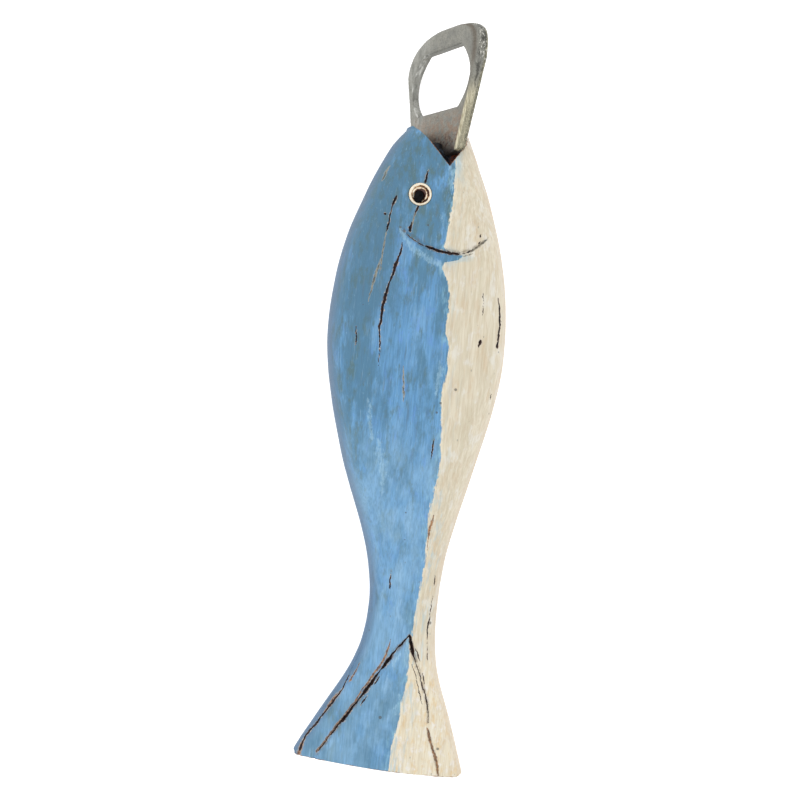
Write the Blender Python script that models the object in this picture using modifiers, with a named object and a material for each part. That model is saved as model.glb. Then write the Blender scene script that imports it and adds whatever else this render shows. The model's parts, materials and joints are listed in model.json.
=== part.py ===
"""Souvenir bottle opener: a hand-carved wooden fish that holds a metal opener ring in its mouth.

The fish lies on one flank. +Y runs from the tail to the head, +X from the back to the belly,
and +Z up from the flank that it lies on. The origin is under the middle of the whole object.
"""

from math import cos, pi, radians, sin, sqrt, tan

import bmesh
import bpy
from mathutils import Matrix, Vector

OBJECT_NAME = "fish_bottle_opener"

# The wooden fish
BODY_LENGTH = 0.2124
BODY_WIDTH = 0.0592
BODY_THICKNESS = 0.033
LAND_LENGTH = 0.042
STALK_WIDTH = 0.0226
STALK_THICKNESS = 0.0165
STALK_SHIFT = 0.0041
TAIL_WIDTH = 0.0572
TAIL_THICKNESS = 0.009
NOSE_WIDTH = 0.0196
NOSE_THICKNESS = 0.018
NOSE_SHIFT = 0.0008
EDGE_ROLL = 0.0095
TAIL_BOW_RADIUS = 0.272
TAIL_BOW_SHIFT = 0.0143
TAIL_TRIM = 0.002

# The mouth, cut through from flank to flank
MOUTH_DEPTH = 0.0142
MOUTH_SHIFT = 0.0055
UPPER_LIP_ANGLE = radians(41)
LOWER_LIP_ANGLE = radians(33)

# The metal opener: a flat plate, turned about the fish's own length
PLATE_THICKNESS = 0.0035
PLATE_ROUND = 0.0009
PLATE_TURN = radians(57)
PLATE_SHIFT = 0.00013
FLOOR_CLEARANCE = 0.0003
SIDE_BAR = 0.0045
HOLE_WIDTH = 0.0324
HOLE_HEIGHT = 0.0205
HOLE_SHIFT = -0.0007
LIP_LENGTH = 0.0226
HOLE_TOP_LENGTH = 0.0204
TOP_BAR = 0.0067
CROWN_HEIGHT = 0.0128
CROWN_POWER_BACK = 2.3
CROWN_POWER_BELLY = 3.2
NECK_LENGTH = 0.0135
SHOULDER_WIDTH = 0.0268
SHOULDER_RISE = 0.0050
SHOULDER_HEIGHT = 0.0030
TANG_WIDTH = 0.011
TANG_LENGTH = 0.022

# The resin that beds the tang
RESIN_WALL = 0.0008
RESIN_DIP = 0.0012
RESIN_FILL = 0.0062
GAP = 0.0003

# The eyes, one let into each flank
EYE_RING_WALL = 0.0018
EYE_DEPTH = 0.0022
EYE_CROWN = 0.0005
EYE_SET_BACK = 0.0250
EYE_SHIFT = -0.003
PUPIL_DIAMETER = 0.0038
PUPIL_CROWN = 0.0008
PUPIL_OFFSET = Vector((-0.0005, -0.0007))

# The carved grooves
GROOVE_WIDTH = 0.0014
GROOVE_DEPTH = 0.0008
GILL_RADIUS = 0.0186
GILL_HALF_SWEEP = radians(45)
GILL_SET_BACK = 0.0443
GILL_SHIFT = 0.0072
FORK_SET_FORWARD = 0.0450
FORK_SHIFT = 0.0070
BACK_FORK_ANGLE = radians(31.7)
BELLY_FORK_ANGLE = radians(17.4)
FORK_MARGIN = 0.0040

# How finely round shapes are cut
SECTION_STEPS = 6
LAND_STEPS = 4
STATION_STEPS = 3
ROUND_STEPS = 32

mouth_from_tail = BODY_LENGTH - MOUTH_DEPTH
opener_reach = SHOULDER_RISE + NECK_LENGTH + HOLE_HEIGHT + TOP_BAR
overall_length = mouth_from_tail + opener_reach
TAIL_Y = -overall_length / 2
NOSE_Y = TAIL_Y + BODY_LENGTH
MOUTH_Y = NOSE_Y - MOUTH_DEPTH
SHOULDER_Y = MOUTH_Y + SHOULDER_RISE
LIP_Y = SHOULDER_Y + NECK_LENGTH
HOLE_TOP_Y = LIP_Y + HOLE_HEIGHT
RING_TOP_Y = HOLE_TOP_Y + TOP_BAR
TANG_END_Y = SHOULDER_Y - SHOULDER_HEIGHT - TANG_LENGTH
MID_Z = BODY_THICKNESS / 2
RING_WIDTH = HOLE_WIDTH + 2 * SIDE_BAR
EYE_DIAMETER = PUPIL_DIAMETER + 2 * EYE_RING_WALL
PLATE_Z = FLOOR_CLEARANCE + RING_WIDTH / 2 * sin(PLATE_TURN) + PLATE_THICKNESS / 2 * cos(PLATE_TURN)
TANG_SHIFT = (MID_Z - PLATE_Z) / sin(PLATE_TURN)
PLATE_X = PLATE_SHIFT - TANG_SHIFT * cos(PLATE_TURN)

BIG = 0.1


def clear_scene():
    for thing in list(bpy.data.objects):
        bpy.data.objects.remove(thing, do_unlink=True)


def make_collection(name):
    collection = bpy.data.collections.new(name)
    bpy.context.scene.collection.children.link(collection)
    return collection


def make_material(name, colour, roughness, metallic=0.0):
    material = bpy.data.materials.new(name)
    material.use_nodes = True
    shader = material.node_tree.nodes["Principled BSDF"]
    shader.inputs["Base Color"].default_value = (*colour, 1.0)
    shader.inputs["Roughness"].default_value = roughness
    shader.inputs["Metallic"].default_value = metallic
    return material


def object_from_bmesh(name, mesh_data, collection):
    """Closes the bmesh, turns its faces outwards and links it as an object."""
    bmesh.ops.recalc_face_normals(mesh_data, faces=mesh_data.faces[:])
    mesh = bpy.data.meshes.new(name)
    mesh_data.to_mesh(mesh)
    mesh_data.free()
    made = bpy.data.objects.new(name, mesh)
    collection.objects.link(made)
    return made


def object_from_curve(name, curve, collection, place=None):
    """Turns a filled curve into a closed mesh object, and removes the curve."""
    holder = bpy.data.objects.new(name + "_curve", curve)
    bpy.context.scene.collection.objects.link(holder)
    bpy.context.view_layer.update()
    evaluated = holder.evaluated_get(bpy.context.evaluated_depsgraph_get())
    mesh = bpy.data.meshes.new_from_object(evaluated)
    bpy.data.objects.remove(holder, do_unlink=True)
    mesh_data = bmesh.new()
    mesh_data.from_mesh(mesh)
    bpy.data.meshes.remove(mesh)
    bmesh.ops.remove_doubles(mesh_data, verts=mesh_data.verts[:], dist=0.00001)
    if place:
        mesh_data.transform(place)
    return object_from_bmesh(name, mesh_data, collection)


def flat_solid(name, outlines, thickness, collection, place):
    """A plate of even thickness from flat outlines; an outline inside another is a hole."""
    curve = bpy.data.curves.new(name, "CURVE")
    curve.dimensions = "2D"
    curve.fill_mode = "BOTH"
    curve.extrude = thickness / 2
    for outline in outlines:
        spline = curve.splines.new("POLY")
        spline.points.add(len(outline) - 1)
        for point, (across, along) in zip(spline.points, outline):
            point.co = (across, along, 0.0, 1.0)
        spline.use_cyclic_u = True
    return object_from_curve(name, curve, collection, place)


def cut(target, cutters, operation="DIFFERENCE", solver="EXACT"):
    for cutter in cutters:
        cutter.hide_render = True
        cutter.display_type = "WIRE"
        modifier = target.modifiers.new(cutter.name, "BOOLEAN")
        modifier.object = cutter
        modifier.operation = operation
        modifier.solver = solver


def body_stations():
    """Where the fish's section is set: distance from the tail, back, belly and half thickness."""
    half_width = BODY_WIDTH / 2
    half_thick = BODY_THICKNESS / 2
    stalk_back = STALK_WIDTH / 2 - STALK_SHIFT
    stalk_belly = STALK_WIDTH / 2 + STALK_SHIFT
    stalk_thick = STALK_THICKNESS / 2
    half_tail = TAIL_WIDTH / 2
    tail_thick = TAIL_THICKNESS / 2
    nose_back = NOSE_WIDTH / 2 - NOSE_SHIFT
    nose_belly = NOSE_WIDTH / 2 + NOSE_SHIFT
    nose_thick = NOSE_THICKNESS / 2
    stalk_end = 0.600 * BODY_LENGTH
    land_end = stalk_end + LAND_LENGTH
    head = BODY_LENGTH - land_end

    def flare(share, back, belly, thick):
        """A section of the tail: shares of the way from the stalk out to the tail end."""
        return (
            share * BODY_LENGTH,
            stalk_back + back * (half_tail - stalk_back),
            stalk_belly + belly * (half_tail - stalk_belly),
            tail_thick + thick * (stalk_thick - tail_thick),
        )

    def swell(share, back, belly, thick):
        """A section ahead of the stalk: shares of the way from the stalk up to the full body."""
        return (
            share * BODY_LENGTH,
            stalk_back + back * (half_width - stalk_back),
            stalk_belly + belly * (half_width - stalk_belly),
            stalk_thick + thick * (half_thick - stalk_thick),
        )

    def taper(share, back, belly, thick):
        """A section of the head: shares of what is left between the full body and the nose."""
        return (
            land_end + share * head,
            nose_back + back * (half_width - nose_back),
            nose_belly + belly * (half_width - nose_belly),
            nose_thick + thick * (half_thick - nose_thick),
        )

    return [
        flare(0.000, 1.00, 1.02, 0.00),
        flare(0.020, 0.97, 0.93, 0.05),
        flare(0.085, 0.63, 0.58, 0.18),
        flare(0.165, 0.20, 0.12, 0.50),
        flare(0.255, 0.00, 0.00, 1.00),
        swell(0.350, 0.15, 0.12, 0.33),
        swell(0.470, 0.58, 0.53, 0.77),
        (stalk_end, 0.930 * half_width, 0.970 * half_width, half_thick),
        (stalk_end + LAND_LENGTH / 2, half_width, 0.990 * half_width, half_thick),
        (land_end, 0.930 * half_width, 0.880 * half_width, half_thick),
        taper(0.45, 0.61, 0.50, 0.64),
        taper(0.77, 0.31, 0.20, 0.26),
        taper(1.00, 0.00, 0.00, 0.00),
    ]


def between(before, start, end, after, share):
    """One value on the smooth curve through four set values, a share of the way from start to end."""
    slope_in = (end[1] - before[1]) / (end[0] - before[0])
    slope_out = (after[1] - start[1]) / (after[0] - start[0])
    span = end[0] - start[0]
    if start[1] == end[1]:
        slope_in = slope_out = 0.0
    if start[1] == before[1]:
        slope_in = 0.0
    if end[1] == after[1]:
        slope_out = 0.0
    square, cube = share * share, share**3
    return (
        (2 * cube - 3 * square + 1) * start[1]
        + (cube - 2 * square + share) * span * slope_in
        + (3 * square - 2 * cube) * end[1]
        + (cube - square) * span * slope_out
    )


def body_size_at(y):
    """The back reach, belly reach and half thickness of the fish at one place along it."""
    stations = body_stations()
    place = min(max(y - TAIL_Y, 0.0), BODY_LENGTH)
    index = 0
    while index < len(stations) - 2 and place > stations[index + 1][0]:
        index += 1
    near = [stations[min(max(index + step, 0), len(stations) - 1)] for step in (-1, 0, 1, 2)]
    share = (place - near[1][0]) / (near[2][0] - near[1][0])
    sizes = []
    for column in (1, 2, 3):
        points = [(station[0], station[column]) for station in near]
        if index == 0:
            points[0] = (2 * points[1][0] - points[2][0], 2 * points[1][1] - points[2][1])
        if index == len(stations) - 2:
            points[3] = (2 * points[2][0] - points[1][0], 2 * points[2][1] - points[1][1])
        sizes.append(between(*points, share))
    return sizes


def body_section(y):
    """One closed section of the fish: flat lands on both flanks, rolled over at back and belly."""
    back, belly, thick = body_size_at(y)
    roll = min(EDGE_ROLL, 0.38 * (back + belly), 1.25 * thick)
    quarter = [
        (roll * cos(step * pi / 2 / SECTION_STEPS), thick * sin(step * pi / 2 / SECTION_STEPS))
        for step in range(SECTION_STEPS + 1)
    ]
    land = back + belly - 2 * roll
    upper = [(belly - roll + across, up) for across, up in quarter]
    upper += [(belly - roll - land * step / LAND_STEPS, thick) for step in range(1, LAND_STEPS)]
    upper += [(-back + roll - across, up) for across, up in reversed(quarter)]
    lower = [(across, -up) for across, up in reversed(upper[1:-1])]
    return [Vector((across, y, MID_Z + up)) for across, up in upper + lower]


def section_places():
    """The places along the fish where a section is set, from past the tail end to the nose."""
    stations = body_stations()
    places = [TAIL_Y - TAIL_TRIM]
    for start, end in zip(stations, stations[1:]):
        places += [
            TAIL_Y + start[0] + (end[0] - start[0]) * step / STATION_STEPS for step in range(STATION_STEPS)
        ]
    return places + [NOSE_Y]


def make_fish_body(parts, cutters, material):
    mesh_data = bmesh.new()
    rings = []
    for y in section_places():
        rings.append([mesh_data.verts.new(point) for point in body_section(y)])
    for ring, after in zip(rings, rings[1:]):
        for corner in range(len(ring)):
            following = (corner + 1) % len(ring)
            mesh_data.faces.new((ring[corner], ring[following], after[following], after[corner]))
    for end in (rings[0], rings[-1]):
        half = len(end) // 2
        for corner in range(half):
            quad = (end[corner], end[corner + 1], end[-corner - 1], end[-corner])
            mesh_data.faces.new(tuple(dict.fromkeys(quad)))
    body = object_from_bmesh("fish_body", mesh_data, parts)
    body.data.materials.append(material)
    cut(body, [tail_end_cutter(cutters), mouth_cutter(cutters)])
    cut(body, slot_cutters(cutters), solver="MANIFOLD")
    cut(body, eye_socket_cutters(cutters) + groove_cutters(cutters))
    return body


def tail_end_cutter(cutters):
    """Trims the tail to a shallow bow, lowest on the belly side."""
    outline = []
    for step in range(ROUND_STEPS // 2 + 1):
        across = TAIL_WIDTH * (2 * step / ROUND_STEPS - 0.5) * 1.5
        bow = TAIL_BOW_RADIUS - sqrt(TAIL_BOW_RADIUS**2 - (across - TAIL_BOW_SHIFT) ** 2)
        outline.append((across, TAIL_Y + bow))
    outline += [(TAIL_WIDTH, TAIL_Y - BIG), (-TAIL_WIDTH, TAIL_Y - BIG)]
    place = Matrix.Translation((0.0, 0.0, MID_Z))
    return flat_solid("tail_end_cut", [outline], BODY_THICKNESS * 2, cutters, place)


def mouth_outline(inset=0.0, height=BIG):
    """The mouth's wedge, its root towards the tail, set in from both lips."""
    root = MOUTH_Y + inset / sin((UPPER_LIP_ANGLE + LOWER_LIP_ANGLE) / 2)
    upper = MOUTH_SHIFT - (height - (root - MOUTH_Y)) * tan(UPPER_LIP_ANGLE)
    lower = MOUTH_SHIFT + (height - (root - MOUTH_Y)) * tan(LOWER_LIP_ANGLE)
    return [(MOUTH_SHIFT, root), (lower, MOUTH_Y + height), (upper, MOUTH_Y + height)]


def mouth_cutter(cutters):
    place = Matrix.Translation((0.0, 0.0, MID_Z))
    return flat_solid("mouth_cut", [mouth_outline()], BODY_THICKNESS * 2, cutters, place)


def plate_frame():
    """The opener plate's own frame: across, along the fish, and off its face."""
    turn = Matrix.Rotation(-PLATE_TURN, 4, "Y")
    return Matrix.Translation((PLATE_X, 0.0, PLATE_Z)) @ turn


def neck_half_width(y):
    """The plate's sides open out evenly from the shoulders to the ring's widest place."""
    widest_y = RING_TOP_Y - CROWN_HEIGHT
    share = (y - SHOULDER_Y) / (widest_y - SHOULDER_Y)
    return (SHOULDER_WIDTH + share * (RING_WIDTH - SHOULDER_WIDTH)) / 2


def tang_side(grow):
    """One side of the tang, round at its end, grown by a clearance all round."""
    half = TANG_WIDTH / 2 + grow
    end_y = TANG_END_Y - grow
    end_round = 0.8 * half
    side = []
    for step in range(ROUND_STEPS // 8 + 1):
        turn = step * pi / 2 / (ROUND_STEPS // 8)
        side.append((half - end_round * (1 - sin(turn)), end_y + end_round * (1 - cos(turn))))
    return side


def both_sides(side, shift=0.0):
    """A whole outline from one side: up the belly side, and back down the back side."""
    belly = [(shift + across, along) for across, along in side]
    return belly + [(shift - across, along) for across, along in reversed(side)]


def tang_outline(grow, top_y):
    """The tang alone, centred in the thickness of the head."""
    return both_sides(tang_side(grow) + [(TANG_WIDTH / 2 + grow, top_y)], TANG_SHIFT)


def plate_outline(grow, top_y, crown=()):
    """The tang, the slanted shoulders, the opening neck, and a crown where one is given."""
    tang = tang_outline(grow, SHOULDER_Y - SHOULDER_HEIGHT - grow / 2)
    shoulder = (SHOULDER_WIDTH / 2 + grow, SHOULDER_Y - grow / 2)
    neck = both_sides([shoulder, (neck_half_width(top_y) + grow, top_y)])
    half = len(tang) // 2
    return tang[:half] + neck[:2] + list(crown) + neck[2:] + tang[half:]


def slot_cutters(cutters):
    """The tang's slot leaves room for the resin; above it the neck has only its clearance.

    The two overlap along their whole length, which the EXACT solver leaves open, so they use MANIFOLD.
    """
    room = GAP + RESIN_WALL + GAP
    slot = tang_outline(room, SHOULDER_Y + GAP)
    neck = plate_outline(GAP, RING_TOP_Y - CROWN_HEIGHT)
    return [
        flat_solid("tang_slot_cut", [slot], PLATE_THICKNESS + 2 * room, cutters, plate_frame()),
        flat_solid("neck_slot_cut", [neck], PLATE_THICKNESS + 2 * GAP, cutters, plate_frame()),
    ]


def opener_outline():
    """The opener's outer edge: tang, shoulders, flared neck and a crowned top."""
    widest_y = RING_TOP_Y - CROWN_HEIGHT
    crown = []
    for step in range(1, ROUND_STEPS):
        turn = step * pi / ROUND_STEPS
        power = CROWN_POWER_BELLY if turn < pi / 2 else CROWN_POWER_BACK
        reach = RING_WIDTH / 2 * abs(cos(turn)) ** (2 / power)
        across = reach if turn < pi / 2 else -reach
        crown.append((across, widest_y + CROWN_HEIGHT * sin(turn) ** (2 / power)))
    return plate_outline(0.0, widest_y, crown)


def hole_outline():
    """The opener's hole: a straight lip below, a straight edge above, and bowed sides."""
    lip, top = LIP_LENGTH / 2, HOLE_TOP_LENGTH / 2
    bow = HOLE_WIDTH / 2 - (lip + top) / 2
    side = []
    for step in range(ROUND_STEPS // 2 + 1):
        share = 2 * step / ROUND_STEPS
        reach = lip + (top - lip) * share + bow * (1 - (2 * share - 1) ** 2)
        side.append((reach, LIP_Y + HOLE_HEIGHT * share))
    return both_sides(side, HOLE_SHIFT)


def make_opener_head(parts, material):
    outlines = [opener_outline(), hole_outline()]
    head = flat_solid("opener_head", outlines, PLATE_THICKNESS, parts, plate_frame())
    head.data.materials.append(material)
    bevel = head.modifiers.new("rounded_rim", "BEVEL")
    bevel.width = PLATE_ROUND
    bevel.segments = 2
    bevel.limit_method = "ANGLE"
    bevel.angle_limit = radians(75)
    return head


def make_tang_resin(parts, cutters, material):
    """Fills the slot round the tang and the root of the mouth, and stops short of both flanks."""
    wall = GAP + RESIN_WALL
    outer = tang_outline(wall, SHOULDER_Y)
    slot_fill = flat_solid("resin_in_slot", [outer], PLATE_THICKNESS + 2 * wall, cutters, plate_frame())
    fill_depth = body_size_at(MOUTH_Y)[2] - RESIN_DIP
    place = Matrix.Translation((0.0, 0.0, MID_Z))
    resin = flat_solid("tang_resin", [mouth_outline(GAP, RESIN_FILL)], 2 * fill_depth, parts, place)
    resin.data.materials.append(material)
    cut(resin, [slot_fill], "UNION")
    inner = plate_outline(GAP, RING_TOP_Y - CROWN_HEIGHT)
    cut(resin, [flat_solid("resin_bore_cut", [inner], PLATE_THICKNESS + 2 * GAP, cutters, plate_frame())])
    return resin


def eye_height():
    return body_size_at(NOSE_Y - EYE_SET_BACK)[2]


def eye_round(name, side, radius, depth, crown, collection, shift=Vector((0.0, 0.0))):
    """A round piece at an eye's place: it goes in to a depth and stands proud of the flank by a crown."""
    mesh_data = bmesh.new()
    bmesh.ops.create_cone(
        mesh_data, cap_ends=True, segments=ROUND_STEPS, radius1=radius, radius2=radius, depth=depth + crown
    )
    middle_z = MID_Z + side * (eye_height() + (crown - depth) / 2)
    place = Vector((EYE_SHIFT + shift.x, NOSE_Y - EYE_SET_BACK + shift.y, middle_z))
    mesh_data.transform(Matrix.Translation(place))
    return object_from_bmesh(name, mesh_data, collection)


def eye_socket_cutters(cutters):
    radius = EYE_DIAMETER / 2 + GAP
    return [
        eye_round(f"{name}_socket_cut", side, radius, EYE_DEPTH + GAP, BODY_THICKNESS, cutters)
        for name, side in (("upper", 1), ("lower", -1))
    ]


def make_eye(name, side, parts, cutters, ring_material, pupil_material):
    """A ring let into the flank, and a round-headed pupil set through it, low and to the back."""
    ring = eye_round(f"eye_ring_{name}", side, EYE_DIAMETER / 2, EYE_DEPTH, EYE_CROWN, parts)
    ring.data.materials.append(ring_material)
    bore = PUPIL_DIAMETER / 2 + GAP
    past = 2 * EYE_DEPTH
    cut(ring, [eye_round(f"eye_bore_{name}", side, bore, past, past, cutters, PUPIL_OFFSET)])
    crown_height = EYE_CROWN + PUPIL_CROWN
    pupil = eye_round(
        f"eye_pupil_{name}", side, PUPIL_DIAMETER / 2, EYE_DEPTH, crown_height, parts, PUPIL_OFFSET
    )
    pupil.data.materials.append(pupil_material)
    crown = pupil.modifiers.new("round_head", "BEVEL")
    crown.width = PUPIL_CROWN
    crown.segments = 3
    crown.limit_method = "ANGLE"
    crown.angle_limit = radians(60)


def groove_cutter(name, points, side, cutters):
    """A V-tool's cut: a thin tube that follows the flank along the given points."""
    curve = bpy.data.curves.new(name, "CURVE")
    curve.dimensions = "3D"
    curve.bevel_depth = GROOVE_WIDTH / 2
    curve.bevel_resolution = 1
    curve.use_fill_caps = True
    spline = curve.splines.new("POLY")
    spline.points.add(len(points) - 1)
    for point, (across, along) in zip(spline.points, points):
        surface = body_size_at(along)[2] + GROOVE_WIDTH / 2 - GROOVE_DEPTH
        point.co = (across, along, MID_Z + side * surface, 1.0)
    return object_from_curve(name, curve, cutters)


def gill_points():
    centre_y = NOSE_Y - GILL_SET_BACK + GILL_RADIUS
    steps = ROUND_STEPS // 2
    turns = [GILL_HALF_SWEEP * (2 * step / steps - 1) for step in range(steps + 1)]
    return [(GILL_SHIFT + GILL_RADIUS * sin(turn), centre_y - GILL_RADIUS * cos(turn)) for turn in turns]


def fork_points(angle, direction):
    """A straight groove from the fork's point to just short of the tail end."""
    start_y = TAIL_Y + FORK_SET_FORWARD
    end_y = TAIL_Y + FORK_MARGIN
    steps = 10
    return [
        (
            FORK_SHIFT + direction * (start_y - end_y) * tan(angle) * step / steps,
            start_y - (start_y - end_y) * step / steps,
        )
        for step in range(steps + 1)
    ]


def groove_cutters(cutters):
    made = []
    for name, side in (("upper", 1), ("lower", -1)):
        made.append(groove_cutter(f"{name}_gill_cut", gill_points(), side, cutters))
        made.append(groove_cutter(f"{name}_back_fork_cut", fork_points(BACK_FORK_ANGLE, -1), side, cutters))
        made.append(groove_cutter(f"{name}_belly_fork_cut", fork_points(BELLY_FORK_ANGLE, 1), side, cutters))
    return made


def build():
    clear_scene()
    parts = make_collection(OBJECT_NAME)
    cutters = make_collection("cutters")
    painted_wood = make_material("painted_wood", (0.12, 0.36, 0.62), 0.6)
    metal = make_material("cast_metal", (0.45, 0.45, 0.41), 0.35, 1.0)
    resin = make_material("dark_resin", (0.02, 0.015, 0.012), 0.4)
    cream_paint = make_material("cream_paint", (0.72, 0.63, 0.5), 0.5)
    black_gloss = make_material("black_gloss", (0.01, 0.01, 0.01), 0.1)
    make_fish_body(parts, cutters, painted_wood)
    make_opener_head(parts, metal)
    make_tang_resin(parts, cutters, resin)
    for name, side in (("upper", 1), ("lower", -1)):
        make_eye(name, side, parts, cutters, cream_paint, black_gloss)


build()
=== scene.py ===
import json
from math import cos, pi, radians, sin, tan

import bmesh
import bpy
import numpy as np
from mathutils import Matrix, Vector, noise
from mathutils.bvhtree import BVHTree


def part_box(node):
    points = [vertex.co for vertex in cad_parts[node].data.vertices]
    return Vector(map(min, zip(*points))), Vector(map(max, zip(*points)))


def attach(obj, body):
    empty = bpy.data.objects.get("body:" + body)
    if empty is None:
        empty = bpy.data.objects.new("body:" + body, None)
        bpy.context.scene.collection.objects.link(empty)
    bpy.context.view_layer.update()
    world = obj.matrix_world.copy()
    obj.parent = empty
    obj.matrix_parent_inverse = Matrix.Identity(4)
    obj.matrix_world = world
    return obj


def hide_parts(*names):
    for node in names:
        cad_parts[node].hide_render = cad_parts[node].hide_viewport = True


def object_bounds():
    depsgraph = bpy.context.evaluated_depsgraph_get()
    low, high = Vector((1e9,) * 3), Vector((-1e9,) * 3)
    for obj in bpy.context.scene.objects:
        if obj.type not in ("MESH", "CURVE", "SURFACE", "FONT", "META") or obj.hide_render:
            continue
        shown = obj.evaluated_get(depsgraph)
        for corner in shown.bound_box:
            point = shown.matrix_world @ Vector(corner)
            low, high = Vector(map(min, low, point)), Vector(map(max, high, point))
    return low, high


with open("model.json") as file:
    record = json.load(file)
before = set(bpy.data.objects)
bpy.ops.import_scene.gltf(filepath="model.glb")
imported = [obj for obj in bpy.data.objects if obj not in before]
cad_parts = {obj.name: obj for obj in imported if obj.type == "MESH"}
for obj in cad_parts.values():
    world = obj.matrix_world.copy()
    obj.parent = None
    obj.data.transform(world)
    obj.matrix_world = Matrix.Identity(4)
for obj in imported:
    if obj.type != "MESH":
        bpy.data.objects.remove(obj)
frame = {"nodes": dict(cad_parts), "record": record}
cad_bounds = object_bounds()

# The table and the light. The fish lies on its flank on a plain white table, under a wide
# soft light, and is looked at from straight above, with its head leaning to the right.
MM = 0.001
LOOK_HEIGHT = 380 * MM
LOOK_FIELD = 264 * MM
LOOK_LEAN = radians(5.4)
LOOK_X = -3.25 * MM
LOOK_Y = -0.5 * MM
TABLE_GAP = 0.1 * MM
body_low, body_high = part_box("fish_body")
middle_z = (body_low.z + body_high.z) / 2
look_from = (LOOK_X, LOOK_Y, middle_z + LOOK_HEIGHT)
bpy.ops.object.select_all(action="DESELECT")
bpy.ops.object.camera_add(location=look_from, rotation=(0, 0, LOOK_LEAN))
camera = bpy.context.object
camera.data.sensor_width = 36
camera.data.lens = 36 * LOOK_HEIGHT / LOOK_FIELD
bpy.context.scene.camera = camera

bpy.ops.mesh.primitive_plane_add(size=6, location=(0, 0, cad_bounds[0][2] - TABLE_GAP))
table = bpy.context.object
table.name = "white_table"
white_table = bpy.data.materials.new("white_table")
white_table.use_nodes = True
table_shader = white_table.node_tree.nodes["Principled BSDF"]
table_shader.inputs["Base Color"].default_value = (0.80, 0.80, 0.80, 1)
table_shader.inputs["Roughness"].default_value = 0.8
table_shader.inputs["Emission Color"].default_value = (1, 1, 1, 1)
table_shader.inputs["Emission Strength"].default_value = 0.55
table.data.materials.append(white_table)

for name, place, size, power in (
    ("window_light", (-0.7, 0.5, 1.1), 1.2, 5.0),
    ("fill_light", (0.9, -0.3, 1.0), 1.4, 3.0),
):
    bpy.ops.object.light_add(type="AREA", location=place)
    lamp = bpy.context.object
    lamp.name = name
    lamp.data.size = size
    lamp.data.energy = power
    lamp.rotation_euler = (-Vector(place)).to_track_quat("-Z", "Y").to_euler()
sky = bpy.data.worlds.new("pale_room")
sky.use_nodes = True
sky.node_tree.nodes["Background"].inputs["Color"].default_value = (1, 1, 1, 1)
sky.node_tree.nodes["Background"].inputs["Strength"].default_value = 0.95
bpy.context.scene.world = sky
bpy.context.scene.view_settings.view_transform = "Standard"


# The fish: one piece of softwood, sawn and rasped to a fish lying on its side, sanded smooth,
# then carved, painted in two tones and rubbed back so that cracks and edges show dark wood.
# It starts as a tube of even cells, refined where a crack or a carved line crosses it.
ROLL_COLUMNS = 19
LAND_COLUMNS = 40
ROWS = 220
EDGE_ROLL = 9.5 * MM
TAIL_ROLL_SHARE = 0.5
TAIL_ROLL_REACH = 55 * MM
TAIL_BOW_RADIUS = 272 * MM
TAIL_BOW_CENTRE = 14.3 * MM
TAIL_BOW_FADE = 28 * MM
BACK_CORNER = 4.2 * MM
BELLY_CORNER = 1.6 * MM
LIP_FADE = 9 * MM
MEASURE_STEP = 1 * MM
FLANK_HALF = 12 * MM
FLANK_STEP = 1.5 * MM
CORNER_FIT = 10 * MM
LIP_FIT = 14 * MM
SIZE_BLUR = 2.2
# how much deeper the back was hewn than the belly, at places back from the nose, in mm
HEWN = [(0, 0), (12, 0.6), (25, 0.8), (55, 0.6), (75, 0), (160, 0), (172, 0.8), (200, 0.8), (213, 0.3)]
tail_y = body_low.y
nose_y = body_high.y
columns = 4 * ROLL_COLUMNS + 2 * LAND_COLUMNS


def measure_fish():
    """Back reach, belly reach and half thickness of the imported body, at each millimetre of its length."""
    solid = frame["nodes"]["fish_body"].data
    tree = BVHTree.FromPolygons([v.co for v in solid.vertices], [p.vertices for p in solid.polygons])
    rows = np.arange(tail_y + MEASURE_STEP / 2, nose_y, MEASURE_STEP)
    sizes = np.full((3, len(rows)), np.nan)
    far = 100 * MM
    for index, y in enumerate(rows):
        for side in (0, 1):
            direction = 1 if side == 0 else -1
            hit = tree.ray_cast(Vector((-direction * far, y, middle_z)), Vector((direction, 0, 0)))[0]
            if hit:
                sizes[side, index] = -direction * hit.x
        tops = []
        for x in np.arange(-FLANK_HALF, FLANK_HALF, FLANK_STEP):
            hit = tree.ray_cast(Vector((x, y, far)), Vector((0, 0, -1)))[0]
            if hit:
                tops.append(hit.z - middle_z)
        sizes[2, index] = max(tops)
    lip_row = nose_y - LIP_FADE
    for line, cut_row, cut_away, near in (
        (sizes[0], tail_y + BACK_CORNER, rows < tail_y + BACK_CORNER, CORNER_FIT),
        (sizes[1], tail_y + BELLY_CORNER, rows < tail_y + BELLY_CORNER, CORNER_FIT),
        (sizes[2], tail_y + BACK_CORNER, rows < tail_y + BACK_CORNER, CORNER_FIT),
        (sizes[1], lip_row, rows > lip_row, LIP_FIT),
        (sizes[2], lip_row, rows > lip_row, LIP_FIT),
    ):
        fit = (np.abs(rows - cut_row) < near) & ~cut_away & ~np.isnan(line)
        line[cut_away] = np.polyval(np.polyfit(rows[fit] - cut_row, line[fit], 2), rows[cut_away] - cut_row)
    reach = 6
    bell = np.exp(-0.5 * (np.arange(-reach, reach + 1) / SIZE_BLUR) ** 2)
    for line in sizes:
        padded = np.pad(line, reach, mode="reflect", reflect_type="odd")
        line[:] = np.convolve(padded, bell / bell.sum(), mode="valid")
    hewn_back, hewn_depth = np.array(HEWN).T
    sizes[0] -= np.interp((nose_y - rows) / MM, hewn_back, hewn_depth) * MM
    return rows, sizes


size_rows, fish_sizes = measure_fish()


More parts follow.
